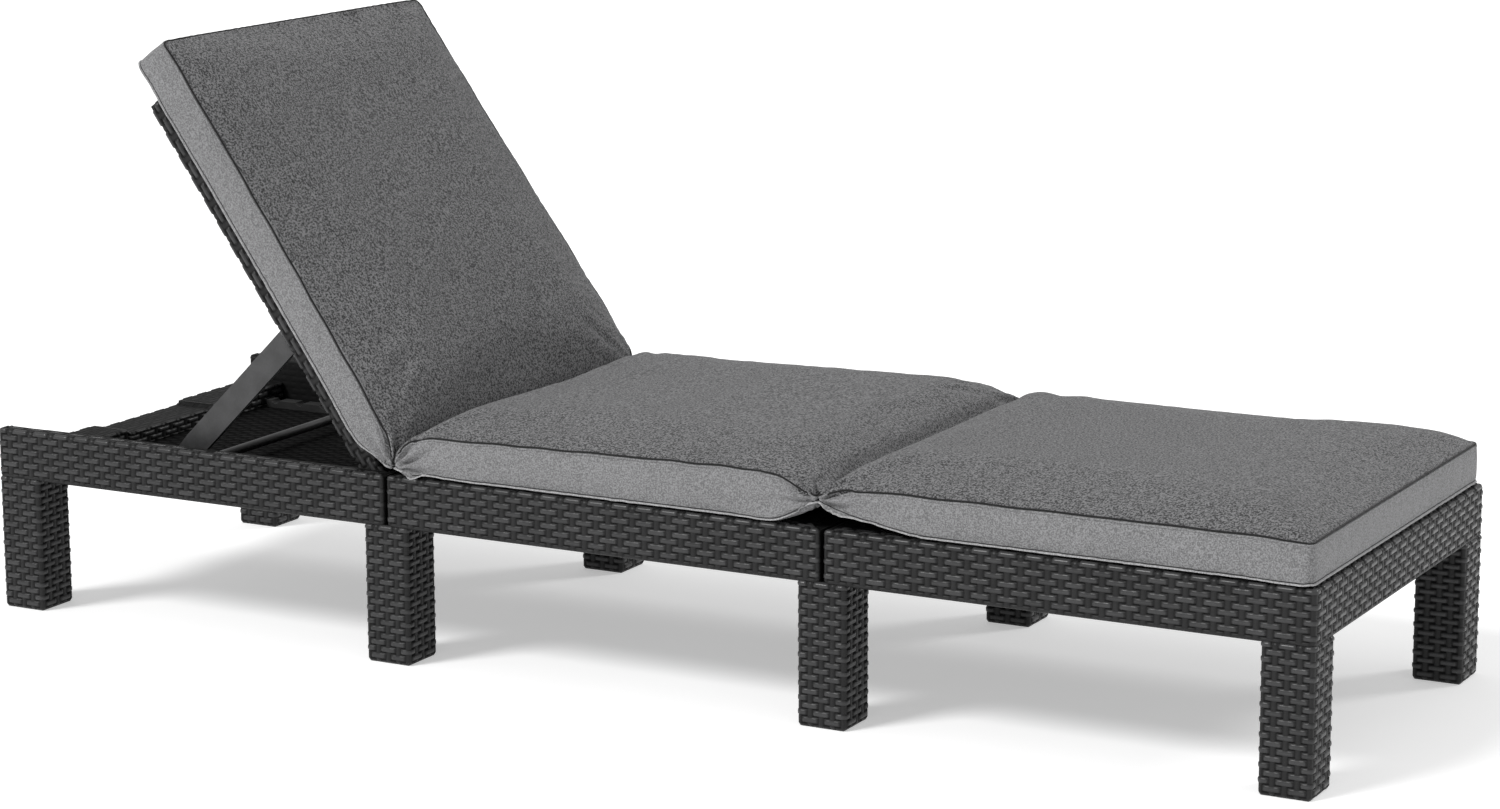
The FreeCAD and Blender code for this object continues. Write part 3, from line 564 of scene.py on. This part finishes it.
frame_skin("seat_weave", seat_low, seat_high, TOP_REACH, calm_towards((1, 0), (-1, 0)))
frame_skin("foot_weave", foot_low, foot_high, TOP_REACH, calm_towards((-1, 0)))
for side_name, sign in (("left", 1), ("right", -1)):
    near, far = sorted((sign * head_high.y, sign * (head_high.y - RAIL)))
    frame_skin(
        f"head_rail_weave_{side_name}",
        (head_low.x, near, head_low.z),
        (head_high.x, far, head_high.z),
        RAIL / 2 - 0.1 * MM,
        calm_towards((1, 0), (0, -sign)),
    )

CROSS_DEPTH = 60 * MM
CROSS_TOP = 218.5 * MM
GRIP_DROP = 6 * MM
GRIP_HALF = 100 * MM
EAR = 28.5 * MM


def dip(vertices):
    """Lower the middle of the head end's cross rail, where a hand grips it."""
    share = ease(-6 * MM, 6 * MM, GRIP_HALF - np.abs(vertices[:, 1]))
    tall = np.clip((vertices[:, 2] - head_low.z) / (CROSS_TOP - head_low.z), 0, 2)
    vertices[:, 2] -= GRIP_DROP * share * tall
    return vertices


def calm_saddle(points, _normals):
    """Less relief over the top of the cross rail, where the panel lies when the backrest is flat."""
    inset = np.minimum(points[:, 0] - head_low.x, head_low.x + CROSS_DEPTH - points[:, 0])
    inset = np.minimum(inset, head_high.y - EAR - np.abs(points[:, 1]))
    return 1 - 0.76 * ease(0, 2.5 * MM, inset)


frame_skin(
    "head_cross_rail_weave",
    (head_low.x, head_low.y + EAR, head_low.z),
    (head_low.x + CROSS_DEPTH, head_high.y - EAR, CROSS_TOP),
    CROSS_DEPTH / 2 - 0.1 * MM,
    calm_saddle,
    warp=dip,
)
tray_low = (head_low.x + CROSS_DEPTH + TRAY_GAP, head_low.y + RAIL + TRAY_GAP)
tray_high = (head_high.x - 10 * MM, head_high.y - RAIL - TRAY_GAP)
tray = woven_sheet("head_tray_weave", tray_low, tray_high, head_low.z + TRAY_LIFT, RESIN_TRAY_PAINTED_SHADE)
finish_piece(tray, "frame", "resin")

LEG_CORNER = 4 * MM
LEG_TOP = RAIL_BOTTOM - 0.8 * MM
LEG_REACH = 12 * MM
for node in sorted(frame["nodes"]):
    if node.startswith("leg_") and node.endswith(("left", "right")):
        low, high = (Vector(corner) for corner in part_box(node))
        upper = LEG_TOP - SKIN
        lower = low.z + SKIN
        skin = woven_ring(
            f"{node}_weave",
            low.xy,
            high.xy,
            LEG_CORNER,
            [(LEG_CORNER, low.z), (0, low.z), (0, LEG_TOP), (LEG_REACH, LEG_TOP)],
            (0, LEG_TOP - 4.2 * MM),
            [(LEG_REACH, upper), (SKIN, upper), (SKIN, lower), (LEG_CORNER, lower)],
            RESIN,
            row_pitch=9.2 * MM,
            bend=2 * MM,
        )
        finish_piece(skin, "frame", "resin")

# --- backrest: a slimmer copy of the moulded panel with its woven rim, in the backrest's own frame

PANEL_REACH = 598 * MM
PANEL_FOOT = 16.5 * MM
PANEL_UNDER = -15.5 * MM
PANEL_OVER = 17.5 * MM
PANEL_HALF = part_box("backrest_panel")[1][1]
PANEL_CORNER = 6 * MM
SUNK = 2.9 * MM
RIM_UNDER = 13 * MM
RIM_OVER = 24 * MM
panel = bpy.data.objects.new("backrest_panel_core", frame["nodes"]["backrest_panel"].data.copy())
bpy.context.scene.collection.objects.link(panel)
panel.data.transform(BACKREST.inverted())
core = read_vectors(panel.data.vertices, "co")
beside = ease(PANEL_HALF - 12 * MM, PANEL_HALF, np.abs(core[:, 1]))
core[:, 1] -= np.sign(core[:, 1]) * SUNK * beside
core[:, 0] = np.clip(core[:, 0], SUNK - PANEL_REACH, PANEL_FOOT - SUNK)
core[:, 2] = np.clip(core[:, 2], PANEL_UNDER + SUNK, PANEL_OVER - SUNK)
write_points(panel, core)
panel.data.materials.clear()
panel.data.materials.append(RESIN_INSIDE_PAINTED_SHADE)
panel.matrix_world = BACKREST
finish_piece(panel, "backrest", "resin", "backrest_panel")
under = PANEL_UNDER + SUNK
over = PANEL_OVER - SUNK
rim = woven_ring(
    "backrest_rim_weave",
    (SUNK - PANEL_REACH, SUNK - PANEL_HALF),
    (PANEL_FOOT - SUNK, PANEL_HALF - SUNK),
    PANEL_CORNER,
    [(RIM_UNDER, under), (0, under), (0, over), (RIM_OVER, over)],
    (0, under),
    [(RIM_OVER, over - SKIN), (SKIN, over - SKIN), (SKIN, under + SKIN), (RIM_UNDER, under + SKIN)],
    RESIN,
)
rim.matrix_world = BACKREST
finish_piece(rim, "backrest", "resin")

# --- cushions --------------------------------------------------------------------------------------

VOXEL = 5.8 * MM
HALF = 308 * MM
CORNER_ROUND = 11 * MM
NO_FREE_END = 9.0  # a place far past the cushions, for one whose corners are all square
SEAM_SECTIONS = 260
SEAM_CLOSING = 480
COVER_SECTIONS = 170
SIDE_SHARES = np.linspace(0, 1, 10)[1:-1]
TOP_SHARES = np.sin(np.linspace(-1, 1, 57) * math.pi / 2)
CROWN_SHAPE = 13  # the higher, the flatter the top and the steeper its edges
HELD = 7 * MM
SIMULATED_FRAMES = 20
UP = np.array([0, 0, 1.0])
BAND_STEP = 3 * MM
BAND_ANGLES = np.linspace(0, 2 * math.pi, 11)[:-1]


def curve(stops, x, blur=7 * MM):
    """A run of (x, value) stops as a smooth curve."""
    stops = np.array(stops)
    spread = np.linspace(-1, 1, 9) * blur
    return np.mean([np.interp(x + shift, stops[:, 0], stops[:, 1]) for shift in spread], axis=0)


class Shape:
    """The form of one cushion along x: its two seams, the crown between them, and its width.

    Each line is a run of (x, height) stops. free_end is the end with rounded corners, and slump how
    much higher the near and the far side sit at the first of the two ends.
    """

    def __init__(self, ends, seam_top, seam_bottom, middle_top, seed, **options):
        self.ends = ends
        self.seam_top = seam_top
        self.seam_bottom = seam_bottom
        self.middle_top = middle_top
        self.seed = seed
        self.free_end = options.get("free_end", NO_FREE_END)
        self.slump = options.get("slump", (0, 0))

    def half(self, x):
        """Half the cushion's width."""
        share = (x - self.ends[0]) / (self.ends[1] - self.ends[0])
        waist = 3.5 * MM * np.sin(math.pi * np.clip(share, 0, 1))
        round_off = CORNER_ROUND - np.clip(np.abs(x - self.free_end), 0, CORNER_ROUND)
        corner = CORNER_ROUND - np.sqrt(CORNER_ROUND**2 - 0.98 * round_off**2)
        return HALF - waist - corner + 0.8 * MM * ripple(x[:, None], 0.11, self.seed)

    def top(self, x):
        return curve(self.seam_top, x) + 0.7 * MM * ripple(x[:, None], 0.09, self.seed + 1)

    def bottom(self, x):
        return curve(self.seam_bottom, x)

    def middle(self, x):
        return curve(self.middle_top, x)

    def twist(self, x, share):
        """How far the filling's slump lifts the cover, from the near side (-1) to the far side (1)."""
        near_rise, far_rise = self.slump
        along = ease(self.ends[0], self.ends[1] - 80 * MM, x)
        return (near_rise * (1 - share) + far_rise * (1 + share)) / 2 * along

    def sections(self, count):
        """Places along the cushion, closer together towards its ends."""
        turn = np.linspace(0, math.pi, count)
        return self.ends[0] + (self.ends[1] - self.ends[0]) * (1 - np.cos(turn)) / 2

    def loops(self):
        """The seams round the cushion, above and below, as closed runs of points."""
        x = self.sections(SEAM_SECTIONS)
        half = self.half(x)
        across = np.linspace(0, 1, SEAM_CLOSING)[1:-1, None]
        runs = []
        for height, lean in ((self.top(x), 1), (self.bottom(x), 0)):
            near = np.stack([x, -half, height + lean * self.twist(x, -1)], 1)
            far = np.stack([x, half, height + lean * self.twist(x, 1)], 1)[::-1]
            crossing = near[-1] + across * (far[0] - near[-1])
            returning = far[-1] + across * (near[0] - far[-1])
            runs.append(np.concatenate([near, crossing, far, returning]))
        return runs

    def blank(self, name):
        """The cover before it is filled, as sections across the cushion closed at both ends."""
        x = self.sections(COVER_SECTIONS)
        half = self.half(x)
        top = self.top(x)
        bottom = self.bottom(x)
        middle = self.middle(x)
        bulge = 2.5 * MM * np.sin(math.pi * SIDE_SHARES)
        crown = 1 - np.abs(TOP_SHARES) ** CROWN_SHAPE
        belly = ease(0, 0.25, 1 - np.abs(TOP_SHARES))
        low = bottom.min()
        rings = []
        for index in range(len(x)):
            upper = top[index] + (middle[index] - top[index]) * crown + self.twist(x[index], TOP_SHARES)
            lower = bottom[index] + (low - bottom[index]) * belly * 0.6
            over = TOP_SHARES * half[index]
            side = half[index] + bulge
            y = np.concatenate([over, side, -over, -side])
            far = upper[-1] + (bottom[index] - upper[-1]) * SIDE_SHARES
            near = upper[0] + (bottom[index] - upper[0]) * SIDE_SHARES
            z = np.concatenate([upper, far, lower[::-1], near[::-1]])
            rings.append(np.column_stack([np.full(len(y), x[index]), y, z]))
        faces = capped_faces(len(rings), len(rings[0]))
        return make_object(name, np.concatenate(rings), faces, FABRIC)


def bake_modifiers(piece):
    """Replace a piece's mesh with the one its modifiers make."""
    bpy.context.view_layer.update()
    evaluated = piece.evaluated_get(bpy.context.evaluated_depsgraph_get())
    shaped = bpy.data.meshes.new_from_object(evaluated)
    piece.modifiers.clear()
    piece.data = shaped


def apply_modifier(piece, kind, **settings):
    modifier = piece.modifiers.new("step", kind)
    for key, value in settings.items():
        setattr(modifier, key, value)
    bake_modifiers(piece)


def points_of(piece):
    return read_vectors(piece.data.vertices, "co")


def push_out(piece, points, amount):
    """Move each point along its normal by its own amount."""
    write_points(piece, points + read_vectors(piece.data.vertices, "normal") * amount[:, None])


def nearest(points, targets):
    """Distance to the nearest of the targets, and which one it is."""
    tree = KDTree(len(targets))
    for index, target in enumerate(targets):
        tree.insert(target, index)
    tree.balance()
    found = [tree.find(point)[1:] for point in points]
    return np.array([away for _, away in found]), np.array([index for index, _ in found])


def fill_with_air(piece, seams, cap, floor):
    """Blow the cover up as cloth, held along its seams, then limit how far each point has moved.
    """
    apply_modifier(piece, "REMESH", mode="VOXEL", voxel_size=VOXEL)
    start = points_of(piece)
    away, _ = nearest(start, seams)
    group = piece.vertex_groups.new(name="held")
    group.add(np.flatnonzero(away < HELD).tolist(), 1.0, "REPLACE")
    cloth = piece.modifiers.new("air", "CLOTH")
    cloth.settings.use_pressure = True
    cloth.settings.uniform_pressure_force = 4.0
    cloth.settings.effector_weights.gravity = 0
    cloth.settings.vertex_group_mass = "held"
    cloth.settings.shrink_min = -0.004
    cloth.settings.quality = 4
    cloth.settings.bending_stiffness = 0.6
    cloth.point_cache.frame_start = 1
    cloth.point_cache.frame_end = SIMULATED_FRAMES
    for step in range(1, SIMULATED_FRAMES + 1):
        bpy.context.scene.frame_set(step)
    bake_modifiers(piece)
    bpy.context.scene.frame_set(1)
    moved = points_of(piece) - start
    distance = np.linalg.norm(moved, axis=1)
    allowed = cap * np.tanh(distance / cap) / np.maximum(distance, 1e-9)
    settled = start + moved * allowed[:, None]
    settled[:, 2] = np.maximum(settled[:, 2], floor(settled[:, 0]))
    write_points(piece, settled)
    apply_modifier(piece, "SUBSURF", levels=1, render_levels=1)


def pucker(piece, seam, strength, fade, pitch, seed, only=None, rise=(0, 2.5 * MM), sharp=False):
    """Small gathers that run out from a seam and fade away over the cloth.

    They rise over the distances in rise from the seam. Sharp ones are creases sunk into the cloth.
    """
    points = points_of(piece)
    away, index = nearest(points, seam)
    along = run_along(seam)[index]
    lean = along[:, None] + away[:, None] * 0.35 * np.sin(along[:, None] * 9 + seed)
    gathers = ripple(lean, pitch, seed, waves=3)
    if sharp:
        gathers = -((1 - np.minimum(np.abs(gathers), 1)) ** 2)
    patches = ease(-0.3, 0.9, ripple(along[:, None], 0.12, seed + 3, waves=3))
    faded = np.exp(-((away / fade) ** 1.3)) * ease(*rise, away)
    amount = strength * gathers * (0.35 + 0.65 * patches) * faded
    if only is not None:
        amount *= only(points)
    push_out(piece, points, amount)


def tuck(piece, pinch, strength, reach, count):
    """Creases that fan out from a pinch, an (x, height) place, over the cushion's sides and top."""
    points = points_of(piece)
    beside = np.abs(np.abs(points[:, 1]) - HALF)
    rise = points[:, 2] - pinch[1] + 0.8 * beside
    along = np.abs(points[:, 0] - pinch[0])
    away = np.sqrt(rise**2 + along**2 + beside**2)
    fan = np.sin(count * np.arctan2(rise, along) + 0.9 * np.sin(points[:, 1] * 40))
    amount = strength * fan * np.exp(-((away / reach) ** 1.5)) * ease(4 * MM, 16 * MM, away)
    push_out(piece, points, amount)


def even_points(loop, spacing):
    """Evenly spaced points round a closed loop, and the direction of travel at each."""
    closed = np.concatenate([loop, loop[:1]])
    run = run_along(closed)
    count = max(8, int(run[-1] / spacing))
    where = np.linspace(0, run[-1], count, endpoint=False)
    points = np.stack([np.interp(where, run, closed[:, axis]) for axis in range(3)], 1)
    ahead = np.roll(points, -1, axis=0) - np.roll(points, 1, axis=0)
    return points, ahead / np.linalg.norm(ahead, axis=1)[:, None]


def outward_from(centre, point, direction):
    """The level way out from centre, square to the seam's direction of travel."""
    outward = np.cross(direction, UP)
    outward /= np.linalg.norm(outward)
    return -outward if outward @ (point - centre) < 0 else outward


def oval(middle, one, size_one, two, size_two):
    """A ring of points round middle, size_one across along one and size_two across along two."""
    over_one = np.outer(np.cos(BAND_ANGLES) * size_one / 2, one)
    over_two = np.outer(np.sin(BAND_ANGLES) * size_two / 2, two)
    return middle + over_one + over_two


def closed_band(name, rings, material):
    faces = ring_faces(len(rings), len(BAND_ANGLES))
    return make_object(name, np.concatenate(rings), faces, material)


def seam_band(name, loop, surface, wide, thick, shift, material):
    """A flat, rounded band that lies along a seam; it makes a band of cloth, and with dark cloth a strip of
    painted shadow in the seam's crease.

    shift moves its middle outward and downward from the seam, then that far off the surface.
    """
    points, travel = even_points(loop, BAND_STEP)
    centre = points.mean(0)
    rings = []
    for point, direction in zip(points, travel):
        outward = outward_from(centre, point, direction)
        beside = Vector(point + outward * shift[0] - UP * shift[1])
        spot, normal, _, _ = surface.find_nearest(beside)
        out = np.array(normal)
        side = np.cross(direction, out)
        side /= np.linalg.norm(side)
        out = np.cross(side, direction)
        rings.append(oval(np.array(spot) + out * shift[2], out, thick, side, wide))
    return closed_band(name, rings, material)


def hem(name, loop, surface, wide, thick, material):
    """The lip of the lower seam: a flat edge that stands out from the cushion and droops a little."""
    points, travel = even_points(loop, BAND_STEP)
    centre = points.mean(0)
    rings = []
    droop = 0.45 + 0.12 * ripple(points, 0.07, 91)
    for point, direction, lean in zip(points, travel, droop):
        across = outward_from(centre, point, direction) - lean * UP
        across /= np.linalg.norm(across)
        normal = np.cross(direction, across)
        spot = np.array(surface.find_nearest(Vector(point))[0])
        middle = spot + across * wide * 0.22 + UP * 0.6 * MM
        rings.append(oval(middle, across, wide, normal, thick))
    return closed_band(name, rings, material)


def border_faces(piece, shape):
    """1 for the faces of the border between the two seams, and of the underside, and 0 for the top."""
    x, y, z = read_vectors(piece.data.polygons, "center").T
    top = shape.top(x)
    beside = np.abs(y) > shape.half(x) - 3 * MM
    beyond = np.abs(x - shape.free_end) < 6 * MM
    well_below = z < top - 12 * MM
    return ((z < top - 0.2 * MM) & (beside | beyond | well_below)).astype(int)


def make_cushion(name, body, node, shape, pinches, place=None, cap=6 * MM, gathers=()):
    """A filled cushion with its seams, drawn where place is the origin, or in the world."""
    piece = shape.blank(name)
    seams = shape.loops()
    fill_with_air(piece, np.concatenate(seams), cap, lambda x: shape.bottom(x) - 0.3 * MM)
    pucker(piece, seams[0], 0.7 * MM, 16 * MM, 0.017, shape.seed)
    pucker(piece, seams[1], 0.45 * MM, 12 * MM, 0.02, shape.seed + 7)
    for settings in gathers:
        pucker(piece, seams[0], **settings)
    for pinch in pinches:
        tuck(piece, pinch, strength=7.0 * MM, reach=50 * MM, count=13)
    piece.data.materials.clear()
    for cloth in (FABRIC, BORDER):
        piece.data.materials.append(cloth)
    piece.data.polygons.foreach_set("use_smooth", [True] * len(piece.data.polygons))
    piece.data.polygons.foreach_set("material_index", border_faces(piece, shape))
    surface = BVHTree.FromObject(piece, bpy.context.evaluated_depsgraph_get())
    upper, lower = seams
    on_edge = (1.4 * MM, 1.4 * MM, 0.3 * MM)
    in_edge = (-0.7 * MM, -1.2 * MM, 0.5 * MM)
    in_lip = (1 * MM, -3.6 * MM, 0.05 * MM)
    edge = seam_band(f"{name}_top_seam", upper, surface, 3.0 * MM, 1.8 * MM, on_edge, BORDER)
    # Painted shadow: a near-black strip in the crease just inside the top seam, where shade falls.
    edge_crease_shadow = seam_band(f"{name}_top_crease_shadow", upper, surface, 2.5 * MM, 2.6 * MM, in_edge, PAINTED_CREASE_SHADOW)
    lip = hem(f"{name}_hem", lower, surface, 5.0 * MM, 1.9 * MM, WELT)
    # Painted shadow: a near-black strip just above the hem lip, where shade falls.
    lip_crease_shadow = seam_band(f"{name}_hem_crease_shadow", lower, surface, 1.2 * MM, 1.0 * MM, in_lip, PAINTED_CREASE_SHADOW)
    for part in (piece, edge, edge_crease_shadow, lip, lip_crease_shadow):
        if place:
            part.matrix_world = place
        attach(part, body)
    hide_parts(node)


DECK = RAIL_TOP + 3.2 * MM
FRONT_PINCH = Vector((315.7 * MM, 0, 292.3 * MM))
REAR_PINCH = Vector((-307.5 * MM, 0, 271 * MM))
BACK_PINCH = BACKREST.inverted() @ Vector((-311 * MM, 0, 268.5 * MM))

seat_shape = Shape(
    ends=(REAR_PINCH.x, FRONT_PINCH.x - 0.6 * MM),
    seam_top=[
        (REAR_PINCH.x, 0.2750),
        (-0.300, 0.2860),
        (-0.288, 0.3010),
        (-0.268, 0.3090),
        (-0.245, 0.3110),
        (0.180, 0.3195),
        (0.232, 0.3200),
        (0.262, 0.3145),
        (0.290, 0.3025),
        (FRONT_PINCH.x, 0.2962),
    ],
    seam_bottom=[
        (REAR_PINCH.x, 0.2665),
        (-0.298, 0.2615),
        (-0.287, DECK),
        (0.245, DECK),
        (0.264, 0.2605),
        (0.285, 0.2710),
        (0.300, 0.2800),
        (FRONT_PINCH.x, 0.2885),
    ],
    middle_top=[
        (REAR_PINCH.x, 0.2750),
        (-0.300, 0.2930),
        (-0.288, 0.3145),
        (-0.265, 0.3275),
        (-0.220, 0.3335),
        (0.050, 0.3400),
        (0.210, 0.3405),
        (0.272, 0.3360),
        (0.300, 0.3270),
        (0.3115, 0.3140),
        (FRONT_PINCH.x, 0.2950),
    ],
    seed=11,
)
front_tuck = (FRONT_PINCH.x, FRONT_PINCH.z)
rear_tuck = (REAR_PINCH.x, REAR_PINCH.z)
make_cushion("seat_cushion_cover", "frame", "seat_cushion", seat_shape, (front_tuck, rear_tuck))

foot_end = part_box("foot_cushion")[1][0] - 1.5 * MM
foot_shape = Shape(
    ends=(FRONT_PINCH.x + 0.6 * MM, foot_end),
    seam_top=[
        (FRONT_PINCH.x, 0.2962),
        (0.335, 0.3010),
        (0.360, 0.3075),
        (0.400, 0.3090),
        (0.900, 0.3105),
        (foot_end, 0.3085),
    ],
    seam_bottom=[
        (FRONT_PINCH.x, 0.2885),
        (0.335, 0.2815),
        (0.360, 0.2745),
        (0.388, 0.2680),
        (0.420, 0.2620),
        (0.460, DECK + 0.5 * MM),
        (0.500, DECK),
        (foot_end, DECK),
    ],
    middle_top=[
        (FRONT_PINCH.x, 0.2950),
        (0.320, 0.3100),
        (0.329, 0.3235),
        (0.350, 0.3310),
        (0.420, 0.3345),
        (0.860, 0.3335),
        (0.920, 0.3295),
        (0.948, 0.3210),
        (foot_end, 0.3090),
    ],
    seed=23,
    free_end=foot_end,
)
make_cushion("foot_cushion_cover", "frame", "foot_cushion", foot_shape, (front_tuck,))

# The back cushion is drawn in the backrest's own frame: x runs down from the head end to the hinge.
HEAD_END = -647 * MM
REST = 22.4 * MM
back_shape = Shape(
    ends=(HEAD_END, BACK_PINCH.x),
    seam_top=[
        (HEAD_END, 0.0775),
        (-0.100, 0.0780),
        (-0.060, 0.0770),
        (-0.035, 0.0735),
        (-0.015, 0.0680),
        (BACK_PINCH.x, 0.0600),
    ],
    seam_bottom=[
        (HEAD_END, REST + 1 * MM),
        (-0.560, REST),
        (-0.075, REST),
        (-0.052, 0.0260),
        (-0.030, 0.0350),
        (-0.012, 0.0450),
        (BACK_PINCH.x, 0.0515),
    ],
    middle_top=[
        (HEAD_END, 0.0790),
        (-0.625, 0.0900),
        (-0.585, 0.0945),
        (-0.350, 0.0990),
        (-0.130, 0.1050),
        (-0.070, 0.1050),
        (-0.035, 0.0980),
        (-0.015, 0.0860),
        (BACK_PINCH.x, 0.0600),
    ],
    seed=37,
    free_end=HEAD_END,
    slump=(-5 * MM, 9 * MM),
)


def near_head_end(points):
    """Full strength along the cushion's head end, most of all on the far side."""
    x, y, z = points.T
    return ease(-0.54, -0.60, x) * (0.35 + 0.65 * ease(-0.15, 0.1, y)) * ease(0.05, 0.07, z)


head_gathers = {
    "strength": 9 * MM,
    "fade": 42 * MM,
    "pitch": 0.034,
    "rise": (2 * MM, 9 * MM),
    "sharp": True,
    "seed": 51,
    "only": near_head_end,
}
back_tuck = (BACK_PINCH.x, BACK_PINCH.z)
make_cushion(
    "back_cushion_cover",
    "backrest",
    "back_cushion",
    back_shape,
    (back_tuck,),
    place=BACKREST,
    cap=7 * MM,
    gathers=(head_gathers,),
)

# --- folds of the cover between the cushions --------------------------------------------------------


def fold_strip(name, line, material, thick=1.6 * MM):
    """A closed strip of cloth across the cushions, following line in the XZ plane."""
    line = np.array(line)
    travel = np.gradient(line, axis=0)
    travel /= np.linalg.norm(travel, axis=1)[:, None]
    normal = np.stack([-travel[:, 1], travel[:, 0]], 1)
    loop = np.concatenate([line + normal * thick / 2, (line - normal * thick / 2)[::-1]])
    y = np.linspace(4 * MM - HALF, HALF - 4 * MM, 120)
    wobble = 0.6 * MM * ripple(y[:, None], 0.06, 5)
    rings = []
    for where, shift in zip(y, wobble):
        rings.append(np.column_stack([loop[:, 0], np.full(len(loop), where), loop[:, 1] + shift]))
    faces = capped_faces(len(rings), len(loop))
    return make_object(name, np.concatenate(rings), faces, material)


def hanging_line(middle, top, wide, deep):
    """A half oval that hangs down from top, as (x, height) points, from the foot side to the head."""
    turns = np.linspace(0, math.pi, 13)
    return [(middle + wide * math.cos(turn), top - deep * math.sin(turn)) for turn in turns]


front = hanging_line(FRONT_PINCH.x, FRONT_PINCH.z + 2 * MM, 4 * MM, 5 * MM)
front_fold = fold_strip("front_fold_cloth", front, FABRIC)
finish_piece(front_fold, "frame", "cushion_fabric", "cushion_fold_front")
middle = REAR_PINCH.x - 2 * MM
rear = hanging_line(middle, 0.2705, 7 * MM, 6 * MM)
rear_fold = fold_strip("rear_fold_cloth", rear, FABRIC)
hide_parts("cushion_fold_rear")
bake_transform(rear_fold)

# --- floor, light and camera ---------------------------------------------------------------------------

floor_nodes = Nodes("studio_floor")
floor_shade = floor_nodes.ramp(floor_nodes.noise(3.0, 2.0), (0.3, 0.78), (0.7, 0.82))
floor_nodes.link("Base Color", floor_shade)
floor_nodes.set(Roughness=0.9, Specular_IOR_Level=0.1)
floor_nodes.set(Emission_Color=(1, 1, 1, 1), Emission_Strength=0.42)
far = 14.0
floor_corners = [(-far, -far, 0), (far, -far, 0), (far, far, 0), (-far, far, 0)]
floor = make_object("floor", floor_corners, [(0, 1, 2, 3)], floor_nodes.material)

bpy.context.scene.view_settings.view_transform = "Standard"
world = bpy.data.worlds.new("studio")
bpy.context.scene.world = world
world.use_nodes = True
background = world.node_tree.nodes["Background"].inputs
background["Color"].default_value = (1, 1, 1, 1)
background["Strength"].default_value = 0.50


def soft_sun(name, direction, spread, power):
    """A broad, even light from one direction, like a large softbox far away."""
    data = bpy.data.lights.new(name, "SUN")
    data.angle = math.radians(spread)
    data.energy = power
    light = bpy.data.objects.new(name, data)
    light.rotation_euler = Vector(direction).to_track_quat("Z", "Y").to_euler()
    bpy.context.scene.collection.objects.link(light)


soft_sun("key_light", (-0.38, -0.60, 0.70), 18, 2.2)
soft_sun("rim_light", (0.52, 0.64, 0.56), 14, 0.9)

# The camera that was fitted to the photograph's leg feet and rail corners.
CAMERA_PLACE = (2.4165, -4.3542, 1.3703)
CAMERA_ANGLES = (-28.472, -11.869, -0.237)
yaw, pitch, roll = (math.radians(angle) for angle in CAMERA_ANGLES)
forward = Vector((math.sin(yaw) * math.cos(pitch), math.cos(yaw) * math.cos(pitch), math.sin(pitch)))
level = Vector((math.cos(yaw), -math.sin(yaw), 0))
upright = level.cross(forward)
right = math.cos(roll) * level + math.sin(roll) * upright
above = -math.sin(roll) * level + math.cos(roll) * upright
camera_data = bpy.data.cameras.new("camera")
camera_data.sensor_width = 36
camera_data.lens = 91.21
camera = bpy.data.objects.new("camera", camera_data)
turned = Matrix((right, above, -forward)).transposed().to_4x4()
camera.matrix_world = Matrix.Translation(CAMERA_PLACE) @ turned
bpy.context.scene.collection.objects.link(camera)
bpy.context.scene.camera = camera
